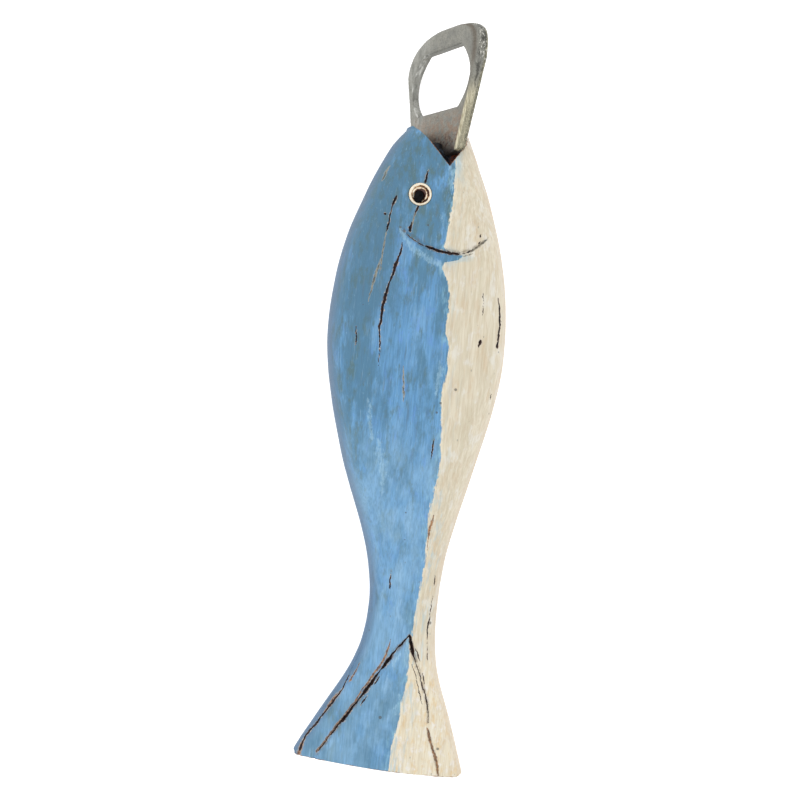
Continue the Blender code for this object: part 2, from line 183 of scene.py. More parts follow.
def edge_roll(y, back, belly, thick):
    """How far in from its edges the fish begins to round over, which is less towards the tail."""
    slimmer = np.clip((y - tail_y) / TAIL_ROLL_REACH, 0, 1)
    slimmer = TAIL_ROLL_SHARE + (1 - TAIL_ROLL_SHARE) * slimmer**2 * (3 - 2 * slimmer)
    return np.minimum(np.minimum(EDGE_ROLL, 0.38 * (back + belly)), 1.25 * thick) * slimmer


def tube_to_fish(tube):
    """Where each point of the tube lies on the fish: its turn runs round the section, its height along."""
    turn = np.arctan2(tube[:, 1], tube[:, 0]) % (2 * pi)
    rim = np.minimum(np.hypot(tube[:, 0], tube[:, 1]), 1)
    column = turn / (2 * pi) * columns
    half = columns / 2
    upper = column <= half
    column = np.where(upper, column, columns - column)
    belly_turn = np.clip(column / ROLL_COLUMNS, 0, 1) * pi / 2
    land_share = np.clip((column - ROLL_COLUMNS) / LAND_COLUMNS, 0, 1)
    back_turn = np.clip((column - ROLL_COLUMNS - LAND_COLUMNS) / ROLL_COLUMNS, 0, 1) * pi / 2
    straight_y = tail_y + (tube[:, 2] + 0.5) * (nose_y - tail_y)
    y = straight_y
    for _ in range(3):
        back, belly, thick = (np.interp(y, size_rows, line) for line in fish_sizes)
        roll = edge_roll(y, back, belly, thick)
        land = back + belly - 2 * roll
        x = belly - roll * (1 - np.cos(belly_turn)) - land * land_share - roll * np.sin(back_turn)
        z = thick * np.sin(belly_turn) * np.cos(back_turn)
        bow = (x - TAIL_BOW_CENTRE) ** 2 / (2 * TAIL_BOW_RADIUS)
        y = straight_y + bow * np.clip(1 - (straight_y - tail_y) / TAIL_BOW_FADE, 0, 1) ** 2
    core = (belly - back) / 2
    x = core + (x - core) * rim
    return np.stack((x, y, middle_z + np.where(upper, z, -z) * rim), axis=1)


def get_points(mesh):
    points = np.empty(len(mesh.vertices) * 3)
    mesh.vertices.foreach_get("co", points)
    return points.reshape(-1, 3)


def set_points(mesh, points):
    mesh.vertices.foreach_set("co", points.ravel())
    mesh.update()


# Each line cut, split or worn into the fish is a list of places: across from the middle, back
# from the nose, and half its width there, in millimetres. Lines on the two edges of the fish
# give their height instead of the first number.
GILL_CUT = [(-8.4, 36.4, 0.3), (-6.2, 38.1, 0.8), (-1.0, 41.2, 0.9), (4.4, 42.9, 0.9), (10.5, 43.1, 0.9),
            (13.7, 42.3, 0.8), (16.7, 40.3, 0.7), (19.9, 36.8, 0.2)]
BACK_FORK_CUT = [(7.2, 166.6, 0.5), (3.4, 171.6, 1.0), (-3.7, 183.1, 1.0), (-9.9, 193.3, 0.9),
                 (-13.6, 199.0, 0.8), (-19.6, 208.6, 0.7), (-21.5, 212.5, 0.6)]
BELLY_FORK_CUT = [(7.0, 166.6, 0.6), (8.8, 172.6, 0.9), (12.3, 180.9, 0.7), (15.0, 188.9, 0.6),
                  (16.0, 197.5, 0.4), (19.5, 207.3, 0.5), (21.0, 213.0, 0.4)]
CARVED_CUTS = [GILL_CUT, BACK_FORK_CUT, BELLY_FORK_CUT]

UPPER_CRACKS = [
    # the long split down the back side, and the fainter ones beside it
    [(-7.4, 41.3, 0.05), (-7.3, 43.4, 0.22), (-8.0, 46.2, 0.2), (-8.6, 48.4, 0.34), (-9.2, 51.4, 0.3),
     (-10.0, 54.2, 0.16), (-10.7, 57.4, 0.32), (-11.3, 61.0, 0.34), (-11.5, 65.4, 0.26),
     (-11.9, 68.6, 0.24),
     (-11.6, 71.0, 0.14), (-11.2, 73.4, 0.18), (-11.2, 76.0, 0.1), (-11.0, 81.0, 0.05)],
    [(-10.4, 26.6, 0.22), (-10.9, 27.6, 0.34), (-11.2, 29.0, 0.26), (-11.6, 31.0, 0.1),
     (-11.9, 33.4, 0.16),
     (-12.2, 36.4, 0.24), (-12.5, 38.4, 0.05)],
    [(-13.7, 32.6, 0.05), (-13.4, 32.7, 0.26), (-13.0, 32.4, 0.05)],
    [(-1.2, 17.0, 0.06), (-1.5, 19.0, 0.22), (-1.7, 20.9, 0.3), (-1.8, 21.6, 0.05)],
    [(-3.4, 29.3, 0.22), (-3.7, 30.2, 0.2), (-4.2, 32.4, 0.05)],
    [(-4.9, 34.6, 0.08), (-5.1, 36.4, 0.34), (-5.1, 37.3, 0.3), (-5.0, 37.7, 0.05)],
    [(24.6, 55.6, 0.05), (25.5, 58.0, 0.16), (26.1, 61.2, 0.24), (26.2, 65.3, 0.2), (26.1, 69.4, 0.22),
     (26.0, 71.0, 0.34), (25.9, 71.8, 0.05)],
    [(20.4, 69.7, 0.1), (20.1, 70.3, 0.4), (19.9, 71.2, 0.26), (19.7, 72.6, 0.05)],
    [(19.8, 54.6, 0.05), (19.9, 56.4, 0.13), (20.0, 57.6, 0.05), (20.1, 59.4, 0.05), (20.2, 60.6, 0.12),
     (20.3, 61.9, 0.05)],
    [(25.7, 86.3, 0.04), (25.5, 87.2, 0.13), (25.4, 88.2, 0.04)],
    [(17.3, 35.8, 0.05), (17.2, 36.8, 0.15), (17.1, 37.5, 0.04)],
    [(17.2, 38.4, 0.05), (17.0, 39.2, 0.2), (16.8, 39.7, 0.05)],
    # the splits and dark marks on the stalk
    [(8.7, 101.8, 0.04), (8.5, 104.6, 0.17), (8.4, 107.0, 0.12), (8.3, 108.6, 0.04)],
    [(13.4, 146.6, 0.04), (13.4, 148.6, 0.14), (13.3, 150.0, 0.04)],
    [(-8.0, 172.0, 0.04), (-9.6, 176.7, 0.16), (-11.3, 181.4, 0.12), (-13.1, 186.6, 0.14),
     (-15.6, 190.6, 0.22),
     (-18.5, 195.2, 0.16), (-21.1, 199.4, 0.24), (-23.0, 202.1, 0.18), (-24.5, 204.8, 0.2),
     (-25.0, 207.6, 0.26)],
    [(13.3, 152.6, 0.04), (13.1, 156.6, 0.1), (13.0, 160.2, 0.06), (12.7, 163.2, 0.22),
     (12.7, 165.0, 0.14),
     (12.9, 168.0, 0.06), (13.3, 171.4, 0.07), (13.6, 174.0, 0.11), (13.7, 174.8, 0.04)],
    [(-1.0, 145.6, 0.04), (-1.0, 148.6, 0.14), (-0.8, 151.0, 0.2), (-0.7, 152.0, 0.04)],
    [(-19.3, 69.0, 0.05), (-19.0, 71.0, 0.16), (-18.8, 73.6, 0.18), (-18.9, 75.2, 0.04)],
    # the black line at the foot of the gill cut
    [(-6.6, 37.8, 0.05), (-5.0, 39.2, 0.13), (-2.4, 40.8, 0.09), (-0.2, 41.6, 0.09), (1.6, 42.2, 0.34),
     (5.0, 42.9, 0.3), (8.0, 43.3, 0.36), (10.2, 43.3, 0.3), (11.4, 43.2, 0.08), (13.2, 42.7, 0.05),
     (13.9, 42.4, 0.22), (15.0, 41.8, 0.05)],
    # the black lines at the foot of the fork's two cuts
    [(6.9, 166.6, 0.1), (5.6, 168.4, 0.22), (4.4, 170.0, 0.3), (3.6, 171.0, 0.1), (2.4, 173.0, 0.22),
     (0.8, 175.6, 0.5), (-0.4, 177.6, 0.36), (-1.4, 179.2, 0.1), (-2.8, 181.6, 0.26), (-4.2, 184.0, 0.46),
     (-5.6, 186.4, 0.4), (-7.0, 188.6, 0.16), (-9.0, 191.8, 0.24), (-10.6, 194.4, 0.34),
     (-11.8, 196.2, 0.46),
     (-12.8, 197.4, 0.2), (-14.2, 199.8, 0.16), (-16.6, 203.6, 0.12), (-18.6, 206.8, 0.16),
     (-19.2, 208.0, 0.05)],
    [(7.1, 166.8, 0.3), (7.7, 169.2, 0.46), (8.4, 171.6, 0.52), (8.9, 173.2, 0.2), (9.6, 175.0, 0.07),
     (10.8, 177.6, 0.07), (11.8, 180.0, 0.09), (12.6, 182.6, 0.12), (13.6, 185.2, 0.1),
     (14.6, 187.8, 0.17),
     (15.2, 190.0, 0.12), (15.6, 192.6, 0.07), (15.8, 195.2, 0.05)],
    [(8.6, 176.0, 0.04), (10.0, 179.0, 0.08), (11.0, 182.0, 0.06), (12.2, 185.6, 0.09),
     (13.2, 189.0, 0.04)],
    [(9.3, 170.6, 0.05), (10.4, 172.8, 0.18), (11.1, 174.8, 0.05)],
    [(12.4, 178.6, 0.05), (13.0, 180.6, 0.16), (13.4, 182.0, 0.05)],
    [(-1.4, 181.0, 0.05), (-2.2, 182.6, 0.22), (-2.9, 183.8, 0.05)],
    [(-4.6, 187.4, 0.05), (-5.8, 189.4, 0.2), (-6.8, 191.2, 0.05)],
]
# thin places, where the paint is rubbed through to brown wood or tan undercoat
UPPER_SCUFFS = [
    [(-12.6, 38.6, 0.1), (-13.0, 43.6, 0.2), (-13.2, 48.0, 0.16), (-13.4, 52.0, 0.05)],
    [(-13.6, 47.0, 0.05), (-14.2, 50.0, 0.26), (-14.8, 52.8, 0.3), (-15.3, 56.0, 0.22),
     (-16.2, 61.0, 0.05)],
    [(-13.4, 16.2, 0.05), (-14.4, 18.2, 0.28), (-15.2, 20.4, 0.3), (-15.7, 21.8, 0.05)],
    [(-3.6, 30.0, 0.2), (-4.3, 33.2, 0.16), (-4.9, 36.0, 0.2)],
    [(-3.2, 80.0, 0.05), (-2.8, 84.0, 0.2), (-2.4, 88.0, 0.26), (-2.0, 91.5, 0.05)],
    [(10.9, 126.4, 0.05), (10.6, 128.4, 0.36), (10.2, 130.6, 0.34), (9.9, 132.6, 0.34),
     (9.9, 134.6, 0.14),
     (9.9, 138.0, 0.05)],
    [(1.0, 168.4, 0.05), (0.4, 171.6, 0.24), (-0.4, 174.8, 0.3), (-1.8, 177.8, 0.4), (-3.3, 180.4, 0.3),
     (-5.2, 183.6, 0.36), (-6.8, 186.2, 0.2), (-8.0, 189.0, 0.26), (-10.2, 192.4, 0.16),
     (-12.2, 196.0, 0.3),
     (-14.0, 199.0, 0.42), (-15.8, 201.8, 0.34), (-17.4, 204.4, 0.3), (-19.4, 207.6, 0.36),
     (-19.8, 208.6, 0.1)],
    [(-8.1, 177.2, 0.05), (-9.4, 180.2, 0.2), (-10.6, 183.0, 0.34), (-11.3, 184.2, 0.05)],
    [(15.6, 196.6, 0.2), (16.2, 198.4, 0.44), (17.4, 201.6, 0.4), (18.4, 204.0, 0.34), (19.4, 206.6, 0.4),
     (20.2, 209.4, 0.3), (20.7, 211.6, 0.22), (20.9, 213.0, 0.1)],
    [(12.0, 42.9, 0.1), (14.2, 42.3, 0.34), (16.2, 40.8, 0.24), (18.2, 38.8, 0.3), (19.6, 37.2, 0.12)],
    [(12.4, 43.9, 0.1), (14.2, 43.4, 0.22), (15.2, 42.8, 0.08)],
    [(-8.6, 170.0, 0.05), (-11.4, 176.6, 0.22), (-13.6, 181.8, 0.26), (-16.4, 187.4, 0.3),
     (-18.6, 191.6, 0.05)],
    [(-12.4, 185.0, 0.05), (-14.0, 188.0, 0.34), (-15.8, 190.4, 0.44), (-17.4, 193.0, 0.24),
     (-19.4, 196.6, 0.05)],
    [(-23.0, 202.0, 0.05), (-24.3, 204.6, 0.3), (-25.0, 207.4, 0.5), (-25.4, 209.6, 0.6)],
    [(24.6, 55.6, 0.05), (25.9, 60.0, 0.2), (26.2, 66.0, 0.22), (26.1, 71.4, 0.26)],
]
# places where the cream was dragged out thinly over the blue
PALE_SMEARS = [
    [(-8.4, 37.0, 0.3), (-6.1, 40.2, 0.6), (-3.6, 43.0, 0.8), (-0.3, 44.8, 0.7), (5.4, 47.4, 0.9)],
    [(5.7, 15.0, 0.3), (6.4, 17.4, 0.7), (6.8, 20.0, 0.4), (6.9, 24.0, 0.2)],
    [(4.7, 172.4, 0.2), (3.4, 175.0, 0.5), (2.5, 177.2, 0.2)],
    [(1.5, 179.8, 0.15), (1.1, 181.6, 0.3), (0.8, 183.4, 0.15)],
    [(6.4, 167.8, 0.2), (6.5, 169.8, 0.5), (6.6, 172.4, 0.5), (6.9, 177.0, 0.3)],
    [(5.6, 186.0, 0.2), (5.0, 190.0, 0.4), (4.7, 194.0, 0.2)],
    [(8.6, 77.0, 0.2), (8.6, 80.0, 0.7), (8.2, 84.0, 0.5), (8.0, 88.0, 0.2)],
    [(4.6, 31.0, 0.1), (4.6, 32.6, 0.3), (4.5, 34.0, 0.1)],
    [(-9.0, 104.0, 0.3), (-8.0, 109.0, 1.2), (-6.4, 115.0, 0.8), (-6.0, 122.0, 0.3)],
    [(-13.0, 92.0, 0.2), (-12.4, 97.0, 0.5), (-11.0, 104.0, 0.4)],
]
# the reverse flank has splits of its own, in the same places on the carving
UNDER_CRACKS = [
    [(-4.0, 47.0, 0.05), (-4.3, 52.0, 0.24), (-5.2, 58.0, 0.3), (-5.6, 64.0, 0.22), (-6.4, 70.0, 0.1)],
    [(-14.2, 58.0, 0.05), (-14.8, 64.0, 0.2), (-15.0, 70.0, 0.32), (-15.6, 77.0, 0.2),
     (-15.4, 84.0, 0.05)],
    [(18.0, 62.0, 0.05), (18.6, 70.0, 0.2), (18.3, 78.0, 0.26), (18.6, 83.0, 0.05)],
    [(1.4, 92.0, 0.05), (1.0, 98.0, 0.18), (0.8, 105.0, 0.16), (1.0, 111.0, 0.05)],
    [(-8.6, 26.0, 0.05), (-9.2, 30.0, 0.28), (-9.6, 35.0, 0.16), (-10.2, 38.0, 0.05)],
    [(10.4, 18.0, 0.05), (10.2, 21.0, 0.2), (10.5, 24.0, 0.05)],
    [(-2.6, 130.0, 0.05), (-2.4, 138.0, 0.2), (-1.8, 146.0, 0.14), (-1.6, 152.0, 0.05)],
    [(11.6, 140.0, 0.05), (11.4, 146.0, 0.16), (11.2, 154.0, 0.2), (11.5, 160.0, 0.05)],
    [(-6.0, 38.2, 0.05), (-2.4, 40.8, 0.26), (2.0, 42.3, 0.34), (6.0, 43.1, 0.18), (10.0, 43.2, 0.3),
     (13.5, 42.4, 0.12), (17.0, 40.0, 0.2)],
    [(6.8, 167.0, 0.2), (3.0, 172.4, 0.36), (-1.0, 178.6, 0.2), (-5.0, 185.4, 0.4), (-9.0, 191.8, 0.16),
     (-14.0, 199.6, 0.3), (-18.6, 206.8, 0.1)],
    [(7.2, 167.2, 0.24), (8.8, 172.8, 0.4), (11.2, 178.6, 0.14), (14.0, 186.4, 0.24), (15.6, 192.6, 0.1),
     (17.0, 200.0, 0.3), (19.6, 207.6, 0.12)],
]
UNDER_SCUFFS = [
    [(-14.2, 58.0, 0.05), (-15.0, 68.0, 0.4), (-15.4, 80.0, 0.3), (-15.4, 88.0, 0.05)],
    [(9.8, 122.0, 0.05), (9.6, 127.0, 0.36), (9.4, 133.0, 0.05)],
    [(-18.0, 204.6, 0.1), (-20.0, 208.6, 0.4), (-21.0, 211.4, 0.2)],
    [(-12.8, 183.0, 0.05), (-16.9, 190.6, 0.36), (-22.2, 199.6, 0.4), (-26.4, 207.0, 0.4)],
    [(16.0, 198.0, 0.2), (18.6, 205.0, 0.4), (20.6, 211.6, 0.2)],
]
BACK_EDGE_CRACKS = [
    [(-2.0, 44.0, 0.05), (-1.2, 52.0, 0.22), (-1.4, 60.0, 0.3), (-0.6, 68.0, 0.14), (-0.4, 76.0, 0.05)],
    [(4.0, 84.0, 0.05), (3.6, 92.0, 0.2), (3.4, 99.0, 0.05)],
    [(0.8, 140.0, 0.05), (0.4, 148.0, 0.2), (0.6, 157.0, 0.05)],
]
BELLY_EDGE_CRACKS = [
    [(3.0, 50.0, 0.05), (2.4, 58.0, 0.24), (2.8, 66.0, 0.16), (2.6, 72.0, 0.05)],
    [(-4.0, 70.0, 0.05), (-3.2, 80.0, 0.24), (-3.6, 90.0, 0.3), (-3.0, 98.0, 0.05)],
    [(-0.4, 150.0, 0.05), (0.0, 158.0, 0.2), (0.4, 166.0, 0.05)],
]
HALO = 2.6
REACH = 3.0
CRACK_DEPTH = 1.7
EDGE_CRACK_DEPTH = 0.6
SCUFF_DEPTH = 0.35
CUT_DEPTH = 0.75


def wander(points, size, grain, seed):
    """Shifts places a little to and fro, so that a line drawn through them isn't ruled."""
    moved = np.empty_like(points)
    for index, (first, second) in enumerate(points):
        place = Vector((first / grain, second / grain, seed))
        moved[index] = (noise.noise(place), noise.noise(place + Vector((0, 0, 31.7))))
    return points + size * moved


def gap_to(places, start, end):
    """How far places lie from one run of a line, and the line's half width beside each."""
    run = end[:2] - start[:2]
    share = np.clip((places - start[:2]) @ run / (run @ run), 0, 1)
    away = np.hypot(*(places - start[:2] - share[:, None] * run).T)
    return away, start[2] + (end[2] - start[2]) * share


def closeness(places, lines):
    """From 1 on a line to 0 at the end of its halo; and how deep a cut of that width goes, in mm."""
    near = np.zeros(len(places))
    deep = np.zeros(len(places))
    for line in lines:
        points = np.array(line)
        low, high = points[:, :2].min(0) - REACH, points[:, :2].max(0) + REACH
        chosen = np.flatnonzero(((places > low) & (places < high)).all(1))
        here = places[chosen]
        for start, end in zip(points, points[1:]):
            away, width = gap_to(here, start, end)
            value = np.clip(1 - away / (HALO * width), 0, 1)
            better = value > near[chosen]
            near[chosen[better]] = value[better]
            deep[chosen] = np.maximum(deep[chosen], width * np.clip(1 - away / (1.3 * width), 0, 1))
    return near, deep


def views_of(points):
    """The places of points as each side of the fish shows them, and which points face that side."""
    across = points[:, 0] / MM
    back = (nose_y - points[:, 1]) / MM
    height = (points[:, 2] - middle_z) / MM
    core = np.interp(points[:, 1], size_rows, (fish_sizes[1] - fish_sizes[0]) / 2) / MM
    flank = np.stack((across, back), axis=1)
    edge = np.stack((height, back), axis=1)
    half = np.interp(points[:, 1], size_rows, fish_sizes[2]) / MM
    on_edge = np.abs(height) < 0.62 * half
    return {
        "upper": (flank, height > 0.35 * half),
        "under": (flank, height < -0.35 * half),
        "back_edge": (edge, on_edge & (across < core)),
        "belly_edge": (edge, on_edge & (across > core)),
    }


SIDES = {
    "upper": (UPPER_CRACKS, UPPER_SCUFFS, CARVED_CUTS),
    "under": (UNDER_CRACKS, UNDER_SCUFFS, CARVED_CUTS),
    "back_edge": (BACK_EDGE_CRACKS, [], []),
    "belly_edge": (BELLY_EDGE_CRACKS, [], []),
}


def read_lines(points):
    """How close each point is to a crack, a scuff and a carved cut, and how deep the surface goes."""
    found = {name: np.zeros(len(points)) for name in ("crack", "scuff", "cut", "smear")}
    depth = np.zeros(len(points))
    for side, (places, facing) in views_of(points).items():
        chosen = np.flatnonzero(facing)
        spots = wander(places[chosen], 0.26, 2.1, len(side))
        spots = wander(spots, 0.17, 0.6, len(side) + 5)
        cracks, scuffs, cuts = SIDES[side]
        near, deep = closeness(spots, cracks)
        found["crack"][chosen] = near
        steep = EDGE_CRACK_DEPTH if side.endswith("edge") else CRACK_DEPTH
        depth[chosen] = np.maximum(depth[chosen], steep * deep)
        near, deep = closeness(spots, scuffs)
        found["scuff"][chosen] = near
        depth[chosen] = np.maximum(depth[chosen], SCUFF_DEPTH * deep)
        if side == "upper":
            found["smear"][chosen] = closeness(spots, PALE_SMEARS)[0]
        near, deep = closeness(places[chosen], cuts)
        found["cut"][chosen] = near
        depth[chosen] += CUT_DEPTH * deep
    return found, depth


def near_any_line(points, margin):
    """Whether a point is within a margin, in mm, of any line on the side it faces."""
    close = np.zeros(len(points), bool)
    for side, (places, facing) in views_of(points).items():
        chosen = np.flatnonzero(facing)
        for line in [line for group in SIDES[side] for line in group]:
            spots = np.array(line)
            for start, end in zip(spots, spots[1:]):
                away, width = gap_to(places[chosen], start, end)
                close[chosen[away < 1.3 * width + margin]] = True
    return close


def take(piece):
    """Selects a piece alone."""
    bpy.ops.object.select_all(action="DESELECT")
    piece.select_set(True)
    bpy.context.view_layer.objects.active = piece


def edit(piece):
    """Opens a piece alone in edit mode, with nothing selected, and hands over its mesh."""
    take(piece)
    bpy.ops.object.mode_set(mode="EDIT")
    bpy.ops.mesh.select_all(action="DESELECT")
    return bmesh.from_edit_mesh(piece.data)


def pick(piece, faces):
    """Selects the given faces of a piece that is open in edit mode."""
    for face in faces:
        face.select_set(True)
    bmesh.update_edit_mesh(piece.data)


bpy.ops.object.select_all(action="DESELECT")
bpy.ops.mesh.primitive_cylinder_add(vertices=columns, radius=1, depth=1, end_fill_type="NGON")
fish = bpy.context.object
fish.name = "carved_fish"
skin = edit(fish)
for edge in skin.edges:
    if abs(edge.verts[0].co.z - edge.verts[1].co.z) > 0.5:
        edge.select_set(True)
bmesh.update_edit_mesh(fish.data)
bpy.ops.mesh.subdivide_edgering(number_cuts=ROWS - 1, interpolation="LINEAR")
bpy.ops.mesh.select_all(action="DESELECT")
bpy.ops.mesh.select_mode(type="FACE")
END_RINGS = 7
REFINED = (1.0, 0.4)
for end in (-1, 1):
    skin = bmesh.from_edit_mesh(fish.data)
    caps = [face for face in skin.faces if len(face.verts) > 8]
    pick(fish, [face for face in caps if face.calc_center_median().z * end > 0])
    for _ in range(END_RINGS):
        bpy.ops.mesh.inset(thickness=1 / (END_RINGS + 1), use_even_offset=False)
    bpy.ops.mesh.poke()
    bpy.ops.mesh.select_all(action="DESELECT")
for margin in REFINED:
    skin = bmesh.from_edit_mesh(fish.data)
    centres = np.array([face.calc_center_median() for face in skin.faces])
    wanted = near_any_line(tube_to_fish(centres), margin)
    pick(fish, [face for face, want in zip(skin.faces, wanted) if want and abs(face.normal.z) < 0.5])
    bpy.ops.mesh.subdivide(number_cuts=1)
    bpy.ops.mesh.select_all(action="DESELECT")
bpy.ops.object.mode_set(mode="OBJECT")
set_points(fish.data, tube_to_fish(get_points(fish.data)))
edit(fish)
bpy.ops.mesh.select_all(action="SELECT")
bpy.ops.mesh.normals_make_consistent(inside=False)
bpy.ops.object.mode_set(mode="OBJECT")


def shift_inwards(piece, depths):
    """Moves each point of a piece in along its own normal, by a depth in metres."""
    normals = np.array([vertex.normal for vertex in piece.data.vertices])
    set_points(piece.data, get_points(piece.data) - normals * depths[:, None])


RASP_WAVE = 9 * MM
RASP_DEPTH = 0.16 * MM
CHISEL_GRAIN = 0.7
skin_points = get_points(fish.data)
rasp = np.array([noise.noise(Vector(point) / RASP_WAVE) for point in skin_points])
lines, line_depth = read_lines(skin_points)
chisel = np.array([noise.noise(Vector(point) / (CHISEL_GRAIN * MM)) for point in skin_points])
line_depth *= 1 + 0.35 * chisel
shift_inwards(fish, RASP_DEPTH * (0.5 + 0.5 * rasp) + line_depth * MM)

# the mouth, sawn right through as a wedge between the two lips
MOUTH_DEPTH = 14.9 * MM
LEAST_RISE = 0.1 * MM
MOUTH_X = 5.5 * MM
UPPER_LIP_ANGLE = radians(41)
LOWER_LIP_ANGLE = radians(32)
LIP_BEND = 6.8 * MM
LIP_BEND_ANGLE = radians(13)
mouth_y = nose_y - MOUTH_DEPTH


def mouth_corners(inset, height):
    """The wedge's corners seen from above: its root, then on the lower lip, then on the upper lip."""
    root = mouth_y + inset / sin((UPPER_LIP_ANGLE + LOWER_LIP_ANGLE) / 2)
    up = mouth_y + height - root
    bend = min(LIP_BEND, up - LEAST_RISE)
    bend_x = MOUTH_X + bend * tan(LOWER_LIP_ANGLE)
    return [(MOUTH_X, root), (bend_x, root + bend), (bend_x + (up - bend) * tan(LIP_BEND_ANGLE), root + up),
            (MOUTH_X - up * tan(UPPER_LIP_ANGLE), root + up)]


def add_prism(name, corners, low, high, cell):
    """A prism on the given corners, with its faces divided into cells of about the given size."""
    bpy.ops.object.select_all(action="DESELECT")
    bpy.ops.mesh.primitive_cylinder_add(vertices=len(corners), radius=1, depth=2)
    prism = bpy.context.object
    prism.name = name
    centre = Vector((sum(c[0] for c in corners), sum(c[1] for c in corners))) / len(corners)
    by_turn = sorted(corners, key=lambda c: np.arctan2(c[1] - centre.y, c[0] - centre.x))
    turns = sorted({round(float(np.arctan2(v.co.y, v.co.x)), 3) for v in prism.data.vertices})
    for vertex in prism.data.vertices:
        corner = by_turn[turns.index(round(float(np.arctan2(vertex.co.y, vertex.co.x)), 3))]
        vertex.co = (corner[0], corner[1], low if vertex.co.z < 0 else high)
    edit(prism)
    bpy.ops.mesh.select_all(action="SELECT")
    bpy.ops.mesh.quads_convert_to_tris()
    bpy.ops.mesh.normals_make_consistent(inside=False)
    bpy.ops.object.mode_set(mode="OBJECT")
    longest = max((prism.data.vertices[e.vertices[0]].co - prism.data.vertices[e.vertices[1]].co).length
                  for e in prism.data.edges)
    edit(prism)
    bpy.ops.mesh.select_all(action="SELECT")
    bpy.ops.mesh.subdivide(number_cuts=int(longest / cell))
    bpy.ops.object.mode_set(mode="OBJECT")
    return prism


def carve(piece, cutter, operation="DIFFERENCE"):
    """Cuts a closed piece with a closed cutter, and clears the cutter away."""
    take(piece)
    cut = piece.modifiers.new(cutter.name, "BOOLEAN")
    cut.object = cutter
    cut.operation = operation
    cut.solver = "MANIFOLD"
    bpy.ops.object.modifier_apply(modifier=cut.name)
    bpy.data.objects.remove(cutter, do_unlink=True)


SAW_REACH = 40 * MM
SAW_CELL = 2 * MM
SAW_WAVE = 1.7 * MM
SAW_MARK = 0.12 * MM
mouth_saw = add_prism("mouth_saw", mouth_corners(0, SAW_REACH), middle_z - SAW_REACH, middle_z + SAW_REACH,
                      SAW_CELL)
saw_points = get_points(mouth_saw.data)
for point in saw_points:
    point[0] += SAW_MARK * noise.noise(Vector(point) / SAW_WAVE)
set_points(mouth_saw.data, saw_points)
carve(fish, mouth_saw)

# the slot that the opener's plate is driven into, a little wider than the plate
PLATE_TURN = radians(57)
PLATE_THICKNESS = 3.5 * MM
PLATE_SLACK = 0.25 * MM
NECK_WIDTH = 26.8 * MM
NECK_SHOULDER = 5.7 * MM
RING_WIDTH = 41.4 * MM
SLOT_LENGTH = 27 * MM
SLOT_CELL = 3 * MM
plate_mount = Vector(next(m for m in frame["record"]["mounts"] if m["name"] == "cap_lip")["pos_m"])
HOLE_SHIFT = -0.7 * MM
plate_frame = Matrix.Translation((plate_mount.x - HOLE_SHIFT * cos(PLATE_TURN), 0,
                                  plate_mount.z - HOLE_SHIFT * sin(PLATE_TURN)))
plate_frame = plate_frame @ Matrix.Rotation(-PLATE_TURN, 4, "Y")
neck_low = mouth_y + NECK_SHOULDER
slot = add_prism(
    "neck_slot",
    [(-NECK_WIDTH / 2 - PLATE_SLACK, neck_low), (NECK_WIDTH / 2 + PLATE_SLACK, neck_low),
     (RING_WIDTH / 2, neck_low + SLOT_LENGTH), (-RING_WIDTH / 2, neck_low + SLOT_LENGTH)],
    -PLATE_THICKNESS / 2 - PLATE_SLACK, PLATE_THICKNESS / 2 + PLATE_SLACK, SLOT_CELL,
)
slot.data.transform(plate_frame)
carve(fish, slot)

# the two eye sockets, bored a little into each flank
EYE_X = -3 * MM
EYE_BACK = 25.25 * MM
EYE_DIAMETER = 7.4 * MM
SOCKET_DEPTH = 2.5 * MM
SOCKET_SLACK = 0.12 * MM
eye_y = nose_y - EYE_BACK
eye_half = float(np.interp(eye_y, size_rows, fish_sizes[2]))
for side in (1, -1):
    bpy.ops.object.select_all(action="DESELECT")
    bpy.ops.mesh.primitive_cylinder_add(
        vertices=72, radius=EYE_DIAMETER / 2 + SOCKET_SLACK, depth=4 * SOCKET_DEPTH,
        location=(EYE_X, eye_y, middle_z + side * (eye_half + SOCKET_DEPTH)),
    )
    bore = bpy.context.object
    bore.name = "eye_bore"
    carve(fish, bore)


def shade_smooth(piece):
    for polygon in piece.data.polygons:
        polygon.use_smooth = True


def keep_marks(piece, marks):
    """Stores a value for each point of a piece under each name, for its finish to read."""
    for name, values in marks.items():
        layer = piece.data.attributes.new(name, "FLOAT", "POINT")
        layer.data.foreach_set("value", values.astype(np.float32))

SLIVER = 0.0001 * MM


def drop_slivers(piece):
    """Closes up the edges of no length that the cuts have left."""
    edit(piece)
    bpy.ops.mesh.select_all(action="SELECT")
    bpy.ops.mesh.dissolve_degenerate(threshold=SLIVER)
    bpy.ops.object.mode_set(mode="OBJECT")


drop_slivers(fish)

# the tip of the upper lip is blunted, and the fresh corners of the tail sanded over
TIP_CUT = 1.9 * MM
TIP_REACH = 8 * MM
SANDED = 0.8
SLOT_RIM = 0.15 * MM
SLOT_FOOT = 0.3 * MM
SOCKET_RIM = 0.2 * MM
skin_points = get_points(fish.data)
near_tip = np.clip(1 - (nose_y - skin_points[:, 1]) / TIP_REACH, 0, 1) * (skin_points[:, 0] < MOUTH_X)
tip_cut = TIP_CUT * near_tip**1.3
skin_points[:, 1] -= tip_cut
set_points(fish.data, skin_points)


def skin_height(points):
    """How high over the middle the uncut skin of the fish is at each point."""
    back, belly, thick = (np.interp(points[:, 1], size_rows, line) for line in fish_sizes)
    roll = edge_roll(points[:, 1], back, belly, thick)
    past = np.maximum(points[:, 0] - (belly - roll), -points[:, 0] - (back - roll)) / roll
    return thick * np.sqrt(np.clip(1 - np.clip(past, 0, 1) ** 2, 0, 1))


